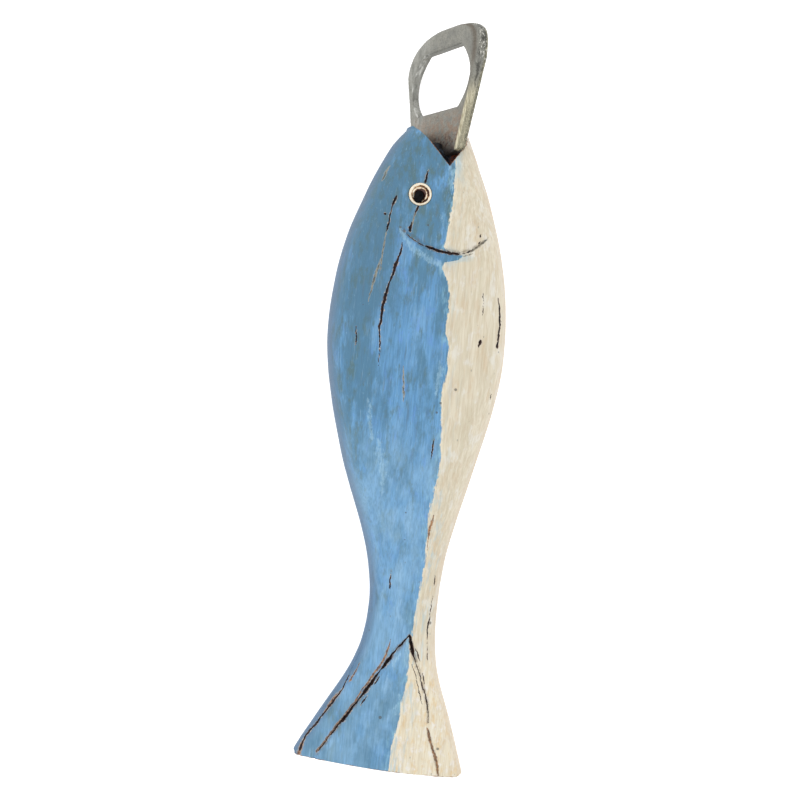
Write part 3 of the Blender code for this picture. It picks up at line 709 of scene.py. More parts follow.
def sand_corners(piece, chosen, rounds):
    """Softens the corners among the chosen points."""
    edit(piece)
    bpy.ops.mesh.select_mode(type="VERT")
    skin = bmesh.from_edit_mesh(piece.data)
    for vertex, want in zip(skin.verts, chosen):
        vertex.select_set(bool(want))
    bmesh.update_edit_mesh(piece.data)
    bpy.ops.mesh.vertices_smooth(factor=0.5, repeat=rounds)
    bpy.ops.mesh.select_all(action="DESELECT")
    bpy.ops.object.mode_set(mode="OBJECT")



def from_tail_end(points):
    """How far points lie in from the tail's bowed end, in millimetres."""
    end = tail_y + (points[:, 0] - TAIL_BOW_CENTRE) ** 2 / (2 * TAIL_BOW_RADIUS)
    return (points[:, 1] - end) / MM


sand_corners(fish, from_tail_end(skin_points) < SANDED, 2)

shade_smooth(fish)
fish.data.set_sharp_from_angle(angle=radians(50))

# what each point of the finished fish is, for its paint
skin_points = get_points(fish.data)
lines, _ = read_lines(skin_points)
PAINT_EDGE = [(5.6, -2.0), (6.2, 8.0), (7.2, 13.5), (7.5, 19.4), (7.6, 26.4), (7.3, 31.0), (6.8, 36.2),
              (6.0, 41.2), (7.2, 42.6), (12.4, 43.8), (11.4, 45.2), (6.6, 46.4), (6.0, 48.4), (7.9, 51.5),
              (8.9, 55.0), (9.4, 61.0), (8.8, 67.6), (10.3, 72.0), (10.7, 76.0), (10.8, 80.0), (9.8, 86.4),
              (10.1, 92.9), (11.0, 102.4), (11.2, 112.2), (10.3, 118.5), (9.3, 128.4), (9.6, 139.7),
              (9.0, 151.6), (8.0, 159.4), (7.6, 167.7), (7.5, 172.2), (7.6, 180.7), (6.7, 186.8),
              (6.2, 194.8), (4.9, 201.3), (4.2, 214.0)]
edge_x, edge_back = np.array(PAINT_EDGE).T
back_mm = (nose_y - skin_points[:, 1]) / MM
upper_shore = skin_points[:, 0] / MM - np.interp(back_mm, edge_back, edge_x)
under_shift = 1.6 * np.sin(back_mm / 13.0) + 0.9 * np.sin(back_mm / 5.3 + 1.0)
under_shore = upper_shore + under_shift
shore = np.where(skin_points[:, 2] > middle_z, upper_shore, under_shore)
uncut_points = skin_points + np.outer(tip_cut, (0, 1, 0))
bare = (skin_height(uncut_points) - np.abs(skin_points[:, 2] - middle_z)) / MM
end_gap = from_tail_end(skin_points)
belly_side = skin_points[:, 0] - MOUTH_X
up_mouth = skin_points[:, 1] - mouth_y
lower_gap = np.abs(belly_side * cos(LOWER_LIP_ANGLE) - up_mouth * sin(LOWER_LIP_ANGLE))
upper_gap = np.abs(belly_side * cos(UPPER_LIP_ANGLE) + up_mouth * sin(UPPER_LIP_ANGLE))
lip_gap = np.where(back_mm > MOUTH_DEPTH / MM, 9, np.minimum(lower_gap, upper_gap) / MM)
bend_x = LIP_BEND * tan(LOWER_LIP_ANGLE)
bend_gap = np.abs(belly_side - bend_x - (up_mouth - LIP_BEND) * tan(LIP_BEND_ANGLE)) / MM
lip_gap = np.where(up_mouth > LIP_BEND, np.minimum(lip_gap, bend_gap), lip_gap)
to_plate = np.array(plate_frame.inverted())
plate_places = skin_points @ to_plate[:3, :3].T + to_plate[:3, 3]
in_slot = np.abs(plate_places[:, 2]) < PLATE_THICKNESS / 2 + PLATE_SLACK + SLOT_RIM
in_slot &= (plate_places[:, 1] > neck_low - SLOT_FOOT) & (np.abs(plate_places[:, 0]) < RING_WIDTH / 2)
in_socket = np.hypot(skin_points[:, 0] - EYE_X, skin_points[:, 1] - eye_y) < EYE_DIAMETER / 2 + SOCKET_RIM
bare = np.where((lip_gap < 0.4) | in_slot | in_socket, bare, 0)
worn = np.maximum(np.clip(1 - end_gap / 1.2, 0, 1), np.clip(1 - lip_gap / 0.5, 0, 1))
back_reach, belly_reach = (np.interp(skin_points[:, 1], size_rows, line) for line in fish_sizes[:2])
from_back = (skin_points[:, 0] + back_reach) / MM
from_belly = (belly_reach - skin_points[:, 0]) / MM
keep_marks(fish, lines | {"shore": shore, "bare": bare, "worn": worn, "from_back": from_back,
                          "from_belly": from_belly})


def tone(red, green, blue):
    """A finish's colour from its look in daylight, 0 to 255, allowing for the strength of this light."""
    daylight = 1.15
    linear = [(c / 12.92 if c <= 0.04045 else ((c + 0.055) / 1.055) ** 2.4) / daylight
              for c in (red / 255, green / 255, blue / 255)]
    return (*linear, 1.0)


class Value:
    """A value or colour in the nodes of a material, which is added and multiplied like a number."""

    def __init__(self, finish, socket):
        self.finish = finish
        self.socket = socket

    def __add__(self, other):
        return self.finish.calc("ADD", self, other)

    def __sub__(self, other):
        return self.finish.calc("SUBTRACT", self, other)

    def __rsub__(self, other):
        return self.finish.calc("SUBTRACT", other, self)

    def __mul__(self, other):
        return self.finish.calc("MULTIPLY", self, other)

    __radd__ = __add__
    __rmul__ = __mul__

    def band(self, start, end, low=0.0, high=1.0):
        """Low before start, high after end, and smooth between."""
        node = self.finish.node("ShaderNodeMapRange", {"Value": self})
        node.interpolation_type = "SMOOTHSTEP"
        for key, number in (("From Min", start), ("From Max", end), ("To Min", low), ("To Max", high)):
            node.inputs[key].default_value = number
        return Value(self.finish, node.outputs["Result"])


class Finish:
    """The nodes of one material, laid down one after another."""

    def __init__(self, name):
        self.material = bpy.data.materials.new(name)
        self.material.use_nodes = True
        self.tree = self.material.node_tree
        self.shader = self.tree.nodes["Principled BSDF"]
        object_places = self.node("ShaderNodeTexCoord").outputs["Object"]
        self.places = self.mapped(object_places, (1 / MM, 1 / MM, 1 / MM))

    def node(self, kind, inputs=()):
        """A new node, with its inputs linked or set."""
        node = self.tree.nodes.new(kind)
        for key in inputs:
            self.put(node.inputs[key], inputs[key])
        return node

    def put(self, socket, value):
        value = value.socket if isinstance(value, Value) else value
        if isinstance(value, bpy.types.NodeSocket):
            self.tree.links.new(value, socket)
        else:
            socket.default_value = value

    def mapped(self, vector, scale, place=(0, 0, 0)):
        """Places scaled, then moved."""
        node = self.node("ShaderNodeMapping", {"Vector": vector, "Scale": scale, "Location": place})
        return node.outputs["Vector"]

    def calc(self, operation, first, second):
        node = self.node("ShaderNodeMath", {0: first, 1: second})
        node.operation = operation
        return Value(self, node.outputs[0])

    def over(self, share, under, top):
        """One colour laid over another."""
        node = self.tree.nodes.new("ShaderNodeMix")
        node.data_type = "RGBA"
        for index, value in ((0, share), (6, under), (7, top)):
            self.put(node.inputs[index], value)
        return Value(self, node.outputs[2])

    def lay(self, coat, look, share):
        """A coat with a share of another colour laid over it, given by its look in daylight."""
        return self.over(share, coat, tone(*look))

    def patches(self, size, long=1.0, seed=0.0, detail=3.0, rough=0.5):
        """Cloudy patches about size mm across the fish, and longer along it."""
        scale = (1 / size, 1 / (size * long), 1 / size)
        spread = self.mapped(self.places, scale, (seed, 3 * seed, -seed))
        settings = {"Vector": spread, "Scale": 1.0, "Detail": detail, "Roughness": rough}
        return Value(self, self.node("ShaderNodeTexNoise", settings).outputs["Fac"])

    def blots(self, start, end, *patches):
        """Patches with harder edges: none of them below start, and all of them past end."""
        return self.patches(*patches).band(start, end)

    def specks(self, spacing, radius, share, seed=0.0, long=1.0):
        """Small round spots, a share of one per spacing."""
        scale = (1 / spacing, 1 / (spacing * long), 1 / spacing)
        spread = self.mapped(self.places, scale, (seed, seed, seed))
        node = self.node("ShaderNodeTexVoronoi", {"Vector": spread, "Scale": 1.0})
        split = self.node("ShaderNodeSeparateColor", {0: node.outputs["Color"]})
        shown = self.calc("LESS_THAN", split.outputs[0], share)
        size = Value(self, split.outputs[1]).band(0, 1, 0.5 * radius / spacing, 1.3 * radius / spacing)
        return shown * self.calc("LESS_THAN", node.outputs["Distance"], size)

    def mark(self, name):
        """A value carried by the piece's own points."""
        node = self.node("ShaderNodeAttribute")
        node.attribute_name = name
        return Value(self, node.outputs["Fac"])

    def axis(self, letter):
        node = self.node("ShaderNodeSeparateXYZ", {0: self.places})
        return Value(self, node.outputs[letter])

    def finish(self, colour, roughness, height, depth, strength=1.0):
        """Sets the colour, the roughness and the fine relief, whose depth is in metres."""
        self.put(self.shader.inputs["Base Color"], colour)
        self.put(self.shader.inputs["Roughness"], roughness)
        bump = self.node("ShaderNodeBump", {"Strength": strength, "Distance": depth, "Height": height})
        self.put(self.shader.inputs["Normal"], bump.outputs["Normal"])


PAINT_RELIEF = 0.10 * MM
paint = Finish("painted_wood")
back = nose_y / MM - paint.axis("Y")
across = paint.axis("X")
hair = paint.patches(0.34, 26, 1.0, 4.0, 0.6)
bristle = paint.patches(1.0, 13, 2.0, 4.0, 0.6)
head = back.band(62, 22)
stalk = back.band(95, 150)

# the blue coat: sky blue dragged thinly along the fish over deeper, greyer blue
blue = paint.over(bristle.band(0.34, 0.66), tone(90, 144, 190), tone(108, 164, 210))
light_drag = paint.patches(4.2, 3.4, 3.0, 4.0, 0.6)
blue = paint.lay(blue, (142, 186, 222), light_drag.band(0.5, 0.66) * (0.25 + 0.6 * stalk))
violet = paint.patches(2.0, 2.4, 21.0, 4.0, 0.6)
blue = paint.lay(blue, (104, 152, 222), 0.45 * violet.band(0.55, 0.68))
deep = (paint.patches(5.2, 3.0, 4.0, 6.0, 0.66) + 0.13 * head + 0.05 * back.band(160, 190)
        + 0.1 * across.band(-5, -18) - 0.05 * stalk)
blue = paint.lay(blue, (80, 127, 156), 0.9 * deep.band(0.45, 0.64))
olive = paint.patches(2.3, 3.4, 5.0, 6.0, 0.68) + 0.06 * head + 0.04 * across.band(-6, -20)
blue = paint.lay(blue, (86, 116, 118), 0.8 * olive.band(0.52, 0.68))
grey_drag = paint.patches(0.8, 12, 6.0, 4.0, 0.6) + 0.03 * head
blue = paint.lay(blue, (92, 116, 130), 0.5 * grey_drag.band(0.56, 0.72))
thin_white = paint.patches(0.5, 16, 22.0, 3.0, 0.6)
blue = paint.lay(blue, (160, 196, 224), 0.3 * thin_white.band(0.58, 0.74))
paler = 0.42 * back.band(92, 118) * paint.blots(0.3, 0.62, 7.0, 2.0, 30.0, 4.0, 0.6)
blue = paint.lay(blue, (150, 194, 226), paler + 0.12 * back.band(92, 118))
head_shade = 0.35 * across.band(-2, -14) * back.band(90, 50)
blue = paint.lay(blue, (74, 112, 134), head_shade)
fork_shade = (0.42 * across.band(-12, -5) * back.band(176, 190)
              * paint.blots(0.34, 0.58, 4.0, 1.4, 31.0, 4.0, 0.6))
blue = paint.lay(blue, (78, 126, 156), fork_shade)
# painted shade: the blue is darkened within a few mm of the back edge, where the fish rounds over
back_edge = paint.mark("from_back").band(4.6, 0.0) * 0.85
blue = paint.lay(blue, (74, 100, 132), back_edge)

# the cream coat: warm white over a tan undercoat that shows along the grain
cream = paint.over(bristle.band(0.36, 0.64), tone(211, 202, 178), tone(226, 218, 197))
undercoat = paint.blots(0.5, 0.68, 3.0, 4, 7.0, 5.0, 0.64)
cream = paint.lay(cream, (210, 188, 156), 0.6 * undercoat)
white_drag = paint.blots(0.52, 0.64, 3.4, 2.0, 8.0, 5.0, 0.62)
cream = paint.lay(cream, (231, 230, 222), 0.6 * white_drag)
grain_drag = paint.blots(0.57, 0.72, 0.6, 18, 23.0, 3.0, 0.6)
cream = paint.lay(cream, (196, 176, 146), 0.35 * grain_drag)
tail_light = back.band(160, 186)
cream = paint.lay(cream, (244, 235, 210), 0.5 * tail_light)
tail_ochre = tail_light * paint.blots(0.5, 0.66, 1.5, 3.0, 24.0, 5.0, 0.68)
cream = paint.lay(cream, (226, 198, 150), 0.7 * tail_ochre)
tail_white = tail_light * paint.blots(0.52, 0.64, 1.8, 1.6, 29.0, 5.0, 0.68)
cream = paint.lay(cream, (238, 236, 232), 0.7 * tail_white)
# painted shade: the cream is darkened within a few mm of the belly edge, where the fish rounds over
belly_edge = paint.mark("from_belly").band(3.0, 0.2) * 0.45
cream = paint.lay(cream, (206, 188, 168), belly_edge)

# where they meet: a brushed edge, with blue dragged thinly out over the cream and cream over blue
ragged = paint.mark("shore") + 2.4 * (paint.patches(1.5, 2.6, 9.0, 5.0, 0.66) - 0.5) + 1.6 * (hair - 0.5)
smear_reach = ragged.band(8.0, 0.4)
smear = paint.blots(0.5, 0.66, 1.3, 7, 10.0, 4.0, 0.6)
smear = smear * smear_reach * (0.24 + 0.5 * stalk)
cream = paint.lay(cream, (172, 203, 216), smear)
gill_blue = ragged.band(5.0, 0.5) * back.band(40, 43) * back.band(50, 46)
cream = paint.lay(cream, (160, 196, 212), 0.5 * gill_blue)
mouth_blue = ragged.band(3.6, 0.4) * back.band(22, 15)
cream = paint.lay(cream, (150, 196, 216), 0.6 * mouth_blue)
white_edge = ragged.band(-0.1, 0.2) * ragged.band(1.2, 0.3) * paint.blots(0.4, 0.6, 0.8, 3.0, 25.0)
cream = paint.lay(cream, (240, 230, 204), 0.7 * white_edge)
pale_side = ragged.band(-3.4, -0.2) * paint.blots(0.47, 0.64, 1.1, 4.0, 26.0, 4.0, 0.6)
blue = paint.lay(blue, (150, 200, 222), 0.6 * pale_side)
dragged = paint.mark("smear") + 3.4 * (paint.patches(0.7, 2.2, 27.0, 6.0, 0.7) - 0.5)
blue = paint.lay(blue, (170, 210, 232), 0.45 * dragged.band(0.3, 1.0))
coat = paint.over(ragged.band(-0.18, 0.18), blue, cream)

# fine marks of the brush and of the grain, darker and lighter
coat = paint.over(0.34 * hair.band(0.58, 0.34), coat,
                  paint.over(ragged.band(-0.18, 0.18), tone(74, 114, 142), tone(190, 168, 140)))

# rubbed and split places: a pale rim, then brown or grey-green wood, then a black split
thin = paint.mark("scuff") + 1.3 * (paint.patches(0.6, 2.0, 11.0, 5.0, 0.72) - 0.5)
brown = paint.over(paint.blots(0.4, 0.6, 0.7, 2, 12.0), tone(98, 62, 42), tone(166, 120, 78))
lichen = paint.over(paint.blots(0.4, 0.6, 0.7, 2, 12.0), tone(76, 84, 78), tone(150, 146, 128))
scuffed = paint.over(back.band(104, 112), lichen, brown)
coat = paint.over(0.7 * thin.band(0.26, 0.44), coat, paint.lay(coat, (190, 182, 168), 0.5))
coat = paint.over(0.9 * thin.band(0.52, 0.68), coat, scuffed)
# darker brown in the bottom of the carved cuts
cut_darkening = paint.mark("cut").band(0.45, 0.95) * paint.blots(0.42, 0.6, 1.6, 1.0, 13.0, 4.0, 0.6)
coat = paint.lay(coat, (112, 98, 80), 0.65 * cut_darkening)
split = paint.mark("crack") + 0.62 * (paint.patches(0.34, 1.7, 14.0, 4.0, 0.66) - 0.5)
pale = split.band(0.1, 0.32) * paint.blots(0.46, 0.6, 0.8, 1.4, 15.0, 4.0, 0.6)
coat = paint.lay(coat, (204, 196, 184), 0.8 * pale)
rust_rim = split.band(0.28, 0.48) * paint.blots(0.42, 0.58, 0.9, 1.4, 28.0)
coat = paint.lay(coat, (112, 78, 62), 0.8 * rust_rim)
dark = paint.over(paint.blots(0.4, 0.62, 1.1, 1.5, 16.0), tone(18, 15, 20), tone(54, 32, 27))
in_split = split.band(0.47, 0.6)
coat = paint.over(in_split, coat, dark)
speck = paint.specks(6.5, 0.42, 0.55, 2.0)
coat = paint.lay(coat, (80, 82, 80), 0.7 * speck)
pore = paint.specks(2.6, 0.16, 0.40, 5.0, 2.2)
coat = paint.lay(coat, (92, 100, 100), 0.45 * pore)

# corners rubbed to the wood, and the sawn wood inside the mouth
rubbed = paint.mark("worn") + 1.3 * (paint.patches(2.0, 1.0, 17.0, 5.0, 0.7) - 0.5)
coat = paint.over(0.9 * rubbed.band(0.62, 0.8), coat, brown)
raw = paint.over(paint.patches(0.5, 9, 18.0, 4.0, 0.6), tone(58, 38, 30), tone(104, 74, 56))
in_wood = paint.mark("bare").band(0.35, 1.1)
coat = paint.over(in_wood, coat, raw)

relief = 0.6 * bristle + 0.5 * hair - 1.2 * in_split + 0.3 * ragged.band(-0.2, 0.2)
gloss = 0.46 + 0.16 * bristle + 0.2 * in_split + 0.15 * in_wood
paint.shader.inputs["Specular IOR Level"].default_value = 0.35
paint.finish(coat, gloss, relief, PAINT_RELIEF, 0.7)
fish.data.materials.clear()
fish.data.materials.append(paint.material)
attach(fish, "root")
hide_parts("fish_body")


# The opener: a ring and tang cast as one plate of steel, tumbled so that its corners are soft,
# with a bevel along its belly-side edge that carries a painted highlight. Its tang is driven into the slot
# in the mouth.
MERGE_GAP = 0.01 * MM
steel = bpy.data.objects.new("steel_opener", frame["nodes"]["opener_head"].data.copy())
bpy.context.scene.collection.objects.link(steel)
steel.data.materials.clear()
edit(steel)
bpy.ops.mesh.select_all(action="SELECT")
bpy.ops.mesh.remove_doubles(threshold=MERGE_GAP)
bpy.ops.object.mode_set(mode="OBJECT")
steel.data.transform(plate_frame.inverted())


def plate_loops(plate):
    """The plate's outer and inner edges at the middle of its thickness, each a loop of points."""
    section = bmesh.new()
    section.from_mesh(plate.data)
    everything = section.verts[:] + section.edges[:] + section.faces[:]
    bmesh.ops.bisect_plane(section, geom=everything, plane_co=(0, 0, 0), plane_no=(0, 0, 1),
                           clear_inner=True, clear_outer=True)
    bmesh.ops.remove_doubles(section, verts=section.verts[:], dist=MERGE_GAP)
    loops = []
    left = set(section.verts)
    while left:
        loop = [left.pop()]
        following = loop
        while following:
            following = [edge.other_vert(loop[-1]) for edge in loop[-1].link_edges
                         if edge.other_vert(loop[-1]) in left][:1]
            left.difference_update(following)
            loop += following
        loops.append(np.array([vertex.co[:2] for vertex in loop]))
    section.free()
    return sorted(loops, key=lambda loop: np.ptp(loop[:, 1]), reverse=True)


def from_edge(places, loop):
    """How far places lie from a closed loop, the nearest place on it, and the way out across it."""
    after = np.roll(loop, -1, axis=0)
    best = np.full(len(places), np.inf)
    nearest = np.zeros((len(places), 2))
    for start, end in zip(loop, after):
        run = end - start
        share = np.clip((places - start) @ run / (run @ run), 0, 1)
        on_edge = start + share[:, None] * run
        away = np.hypot(*(places - on_edge).T)
        closer = away < best
        best[closer] = away[closer]
        nearest[closer] = on_edge[closer]
    return best, nearest


CROWN_CORNER = np.array((18.6, 119.2)) * MM
CORNER_PUSH = 0.85 * MM
CORNER_REACH = 4.5 * MM
outer_loop, hole_loop = plate_loops(steel)[:2]
corner_share = np.exp(-0.5 * (np.hypot(*(outer_loop - CROWN_CORNER).T) / CORNER_REACH) ** 2)
outer_loop += np.outer(corner_share, (0.62, 0.78)) * CORNER_PUSH
STEEL_CELL = 0.36 * MM
remesh = steel.modifiers.new("even_cells", "REMESH")
remesh.mode = "VOXEL"
remesh.voxel_size = STEEL_CELL
take(steel)
bpy.ops.object.modifier_apply(modifier=remesh.name)

RIM_ROUND = 1.3 * MM
RIM_SQUARENESS = 2.7
BRIGHT_EDGE_LOW = 3.4 * MM
BRIGHT_EDGE_HIGH = 1.6 * MM
BRIGHT_EDGE_SLOPE = 0.25
RIM_KEPT = 0.12 * MM
CROWN_CLEAR = 1 * MM
CROWN_FADE = 5 * MM
PIT_WAVE = 1.1 * MM
METAL_RELIEF = 0.12 * MM
HAMMER_WAVE = 6 * MM
HAMMER_DEPTH = 0.10 * MM
half_plate = PLATE_THICKNESS / 2
steel_points = get_points(steel.data)
flat = steel_points[:, :2].copy()
outer_gap, outer_near = from_edge(flat, outer_loop)
hole_gap, hole_near = from_edge(flat, hole_loop)
gap = np.minimum(outer_gap, hole_gap)
near = np.where((outer_gap < hole_gap)[:, None], outer_near, hole_near)
rim = gap < RIM_ROUND
away = flat - near
inward = away / np.maximum(np.hypot(*away.T), 1e-9)[:, None]
turn = np.arctan2(np.abs(steel_points[:, 2]) / half_plate, np.clip(1 - gap / RIM_ROUND, 0, 1))
side_in = RIM_ROUND * (1 - np.clip(np.cos(turn), 0, 1) ** (2 / RIM_SQUARENESS))
lift = half_plate * np.sin(turn) ** (2 / RIM_SQUARENESS)
settled = near + inward * side_in[:, None]
rimmed = rim & (gap > RIM_KEPT)
steel_points[rimmed, :2] = settled[rimmed]
steel_points[rim, 2] = np.sign(steel_points[rim, 2]) * lift[rim]
crown_y = outer_loop[:, 1].max()
belly_line = outer_loop[(outer_loop[:, 0] > 0.4 * NECK_WIDTH) & (outer_loop[:, 1] > neck_low - 0.2 * MM)]
belly_line = belly_line[np.argsort(belly_line[:, 1])]


def from_belly_edge(points):
    """How far points of the plate lie in from its edge on the belly side, measured straight across."""
    return np.interp(points[:, 1], belly_line[:, 1], belly_line[:, 0]) - points[:, 0]


low_share = np.clip((crown_y - steel_points[:, 1]) / (crown_y - neck_low), 0, 1)
bright_width = BRIGHT_EDGE_HIGH + (BRIGHT_EDGE_LOW - BRIGHT_EDGE_HIGH) * low_share
below_crown = np.clip((crown_y - CROWN_CLEAR - steel_points[:, 1]) / CROWN_FADE, 0, 1)
cut_back = np.maximum(bright_width - from_belly_edge(steel_points), 0)
cap = half_plate - BRIGHT_EDGE_SLOPE * cut_back * below_crown
steel_points[:, 2] = np.minimum(steel_points[:, 2], np.maximum(cap, -0.6 * half_plate))
set_points(steel.data, steel_points)
shade_smooth(steel)
take(steel)
soften = steel.modifiers.new("tumbled", "SMOOTH")
soften.factor = 0.5
soften.iterations = 3
bpy.ops.object.modifier_apply(modifier=soften.name)
steel_points = get_points(steel.data)
pits = np.array([noise.noise(Vector(point) / HAMMER_WAVE) + 0.35 * noise.noise(Vector(point) / PIT_WAVE)
                 for point in steel_points])
edge_gap = from_edge(steel_points[:, :2], outer_loop)[0] / MM
hole_gap = from_edge(steel_points[:, :2], hole_loop)[0] / MM
shift_inwards(steel, HAMMER_DEPTH * (0.45 + pits) * np.clip(np.minimum(edge_gap, hole_gap) + 0.4, 0, 1))
up_plate = (steel_points[:, 1] - mouth_y) / MM
keep_marks(steel, {"edge": edge_gap, "hole": hole_gap, "side_in": from_belly_edge(steel_points) / MM,
                   "up": up_plate, "face": steel_points[:, 2] / half_plate})
steel.data.transform(plate_frame)

metal = Finish("cast_steel")
cloud = metal.patches(3.2, 1.0, 1.0, 4.0, 0.6)
scratch = metal.patches(0.35, 10, 2.0, 4.0, 0.6)
grit = metal.patches(0.5, 1.0, 3.0, 4.0, 0.7)
up = metal.mark("up")
dull = metal.over(cloud.band(0.35, 0.65), tone(132, 132, 126), tone(151, 150, 142))
dull = metal.lay(dull, (120, 120, 112), 0.5 * grit.band(0.45, 0.7))
dull = metal.lay(dull, (166, 164, 152), 0.4 * scratch.band(0.5, 0.7))
low_stain = up.band(21, 13) * metal.blots(0.38, 0.58, 2.0, 1.0, 4.0, 5.0, 0.66)
dull = metal.lay(dull, (150, 128, 110), 0.75 * low_stain)
# painted shade: dark brown patches low on the plate, then grey darkening all over towards the mouth
low_shade_patches = up.band(13, 8) * metal.blots(0.48, 0.62, 1.1, 1.0, 9.0, 4.0, 0.6)
dull = metal.lay(dull, (96, 66, 54), 0.7 * low_shade_patches)
dull = metal.lay(dull, (84, 84, 84), 0.8 * up.band(9.5, 4.5))
edge = metal.mark("edge")
side_in = metal.mark("side_in")
face = metal.mark("face")
# painted shade: a dark line along the bend where the face meets the belly-side bevel
bend_shade = (side_in.band(5.6, 3.2) * side_in.band(1.4, 3.0) * up.band(19, 27)
             * (0.45 + 0.7 * up.band(30, 35)))
dull = metal.lay(dull, (98, 88, 76), 0.62 * bend_shade)
# painted highlight: a streaked cream-white stripe down the bevel on the plate's belly-side edge
on_side = side_in.band(2.5, 1.9)
painted_highlight_stripe = on_side * face.band(-0.3, 0.1) * up.band(29, 19)
streaked_highlight = metal.over(scratch.band(0.38, 0.6), tone(170, 162, 136), tone(228, 221, 194))
dull = metal.over(painted_highlight_stripe, dull, streaked_highlight)
rough = metal.patches(0.55, 1.6, 5.0, 5.0, 0.72)
low_rim = side_in.band(1.15, 0.75) * up.band(24, 17) * rough.band(0.34, 0.52)
olive_wall = side_in.band(1.6, 1.0) * face.band(0.05, -0.35)
olive_wall = metal.calc("MAXIMUM", olive_wall, low_rim)
speckle = metal.over(rough.band(0.4, 0.62), tone(92, 90, 76), tone(176, 172, 150))
dull = metal.over(0.9 * olive_wall, dull, speckle)
upper_wall = side_in.band(2.6, 1.4) * face.band(0.995, 0.8) * up.band(22, 27)
black_spots = upper_wall * metal.blots(0.5, 0.6, 1.3, 2.4, 10.0, 4.0, 0.6)
dull = metal.lay(dull, (66, 66, 62), 0.7 * black_spots)
# painted glints: near-white sparkle on the upper part of the belly-side rim
painted_glints = upper_wall * up.band(30, 35) * metal.blots(0.55, 0.63, 0.7, 1.4, 6.0, 4.0, 0.7)
dull = metal.lay(dull, (232, 231, 222), 0.9 * painted_glints)
hole = metal.mark("hole")
# painted shade: grey darkening along the hole's edge, stronger down its inner wall
hole_edge_shade = (hole.band(0.5, 0.1) * metal.blots(0.36, 0.52, 1.2, 2.0, 11.0)
             * (0.35 + 0.65 * face.band(-0.3, -0.8)))
dull = metal.lay(dull, (84, 84, 80), 0.6 * hole_edge_shade)
outer_shade = edge.band(1.6, 0.2) * metal.axis("X").band(2, -3)
dull = metal.lay(dull, (120, 121, 118), 0.2 * outer_shade)
hole_shine = (hole.band(0.5, 0.15) * face.band(-0.35, 0.2) * metal.axis("X").band(-3, -6)
              * metal.blots(0.45, 0.6, 2.4, 2.4, 7.0, 4.0, 0.6))
dull = metal.lay(dull, (236, 236, 230), 0.85 * hole_shine)
# painted highlights: light patches on the ring's left bar
left_bar_highlights = metal.axis("X").band(-2, -7) * metal.blots(0.3, 0.66, 1.6, 3.0, 12.0, 4.0, 0.6)
dull = metal.lay(dull, (182, 182, 176), 0.55 * left_bar_highlights)
metal.shader.inputs["Metallic"].default_value = 1.0
shine = 0.36 + 0.22 * cloud + 0.2 * grit.band(0.4, 0.7) - 0.1 * painted_highlight_stripe
bumps = 0.5 * grit + 0.35 * scratch + 0.9 * olive_wall * rough
metal.finish(dull, shine, bumps, METAL_RELIEF, 0.6)
steel.data.materials.append(metal.material)
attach(steel, "root")
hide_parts("opener_head")


# The resin: dark glue poured round the tang at the root of the mouth. It has sunk as it set,
# and climbs a little where it wets the lips and the plate.
RESIN_HEIGHT = 8.6 * MM
RESIN_SKIN = 0.10 * MM
RESIN_DIP = 1.0 * MM
RESIN_SAG = 1.9 * MM
RESIN_CELL = 0.45 * MM
RESIN_WAVE = 2.2 * MM
RESIN_RIPPLE = 0.35 * MM
RESIN_DISH = 0.9 * MM
RESIN_EDGE = 0.5 * MM
RESIN_MARGIN = 0.2 * MM
RESIN_RELIEF = 0.15 * MM
PRINT_FLARE = 3 * MM
PRINT_LENGTH = 9 * MM
mouth_half = float(np.interp(mouth_y + RESIN_HEIGHT / 2, size_rows, fish_sizes[2]))
resin = add_prism("mouth_resin", mouth_corners(RESIN_SKIN, RESIN_HEIGHT), middle_z - mouth_half + RESIN_DIP,
                  middle_z + mouth_half - RESIN_DIP, RESIN_CELL)
resin_points = get_points(resin.data)
for point in resin_points:
    height = point[2] - middle_z
    up = (point[1] - mouth_y) / RESIN_HEIGHT
    reach = (point[1] - mouth_y) * (tan(LOWER_LIP_ANGLE) + tan(UPPER_LIP_ANGLE)) + RESIN_MARGIN
    share = (point[0] - MOUTH_X + (point[1] - mouth_y) * tan(UPPER_LIP_ANGLE)) / reach
    hollow = 4 * share * (1 - share)
    wave = noise.noise(Vector(point) / RESIN_WAVE)
    sunk = RESIN_SAG * (hollow * min(1.0, 2 * up) + 0.7 * up) + RESIN_RIPPLE * wave
    point[2] -= np.sign(height) * max(sunk, 0) * min(1.0, abs(height) / (mouth_half / 2))
    point[1] -= up**3 * (RESIN_DISH * hollow + RESIN_EDGE * (wave + 0.5))
set_points(resin.data, resin_points)
plate_print = add_prism(
    "plate_print",
    [(-NECK_WIDTH / 2, neck_low), (NECK_WIDTH / 2, neck_low),
     (NECK_WIDTH / 2 + PRINT_FLARE, neck_low + PRINT_LENGTH),
     (-NECK_WIDTH / 2 - PRINT_FLARE, neck_low + PRINT_LENGTH)],
    -half_plate, half_plate, SLOT_CELL,
)
plate_print.data.transform(plate_frame)
carve(resin, plate_print)
shade_smooth(resin)
resin.data.set_sharp_from_angle(angle=radians(40))
glue = Finish("dark_resin")
smear = glue.patches(1.2, 2.0, 1.0, 4.0, 0.6)
glue.shader.inputs["Specular IOR Level"].default_value = 0.25
tint = glue.over(smear.band(0.4, 0.62), tone(10, 10, 14), tone(40, 46, 54))
rust = glue.axis("X").band(4.8, 7.0) * glue.blots(0.38, 0.54, 0.8, 1.0, 2.0, 4.0, 0.6)
tint = glue.lay(tint, (118, 56, 28), 0.9 * rust)
# painted reflection: patches of the lips' blue on the dark resin
lip_reflection = glue.blots(0.6, 0.72, 0.7, 2.5, 3.0, 4.0, 0.6)
tint = glue.lay(tint, (96, 130, 158), 0.5 * lip_reflection)
glue.finish(tint, 0.25 + 0.4 * smear, glue.patches(0.5, 1.0, 4.0, 4.0, 0.7), RESIN_RELIEF, 0.6)
resin.data.materials.clear()
resin.data.materials.append(glue.material)
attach(resin, "root")
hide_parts("tang_resin")


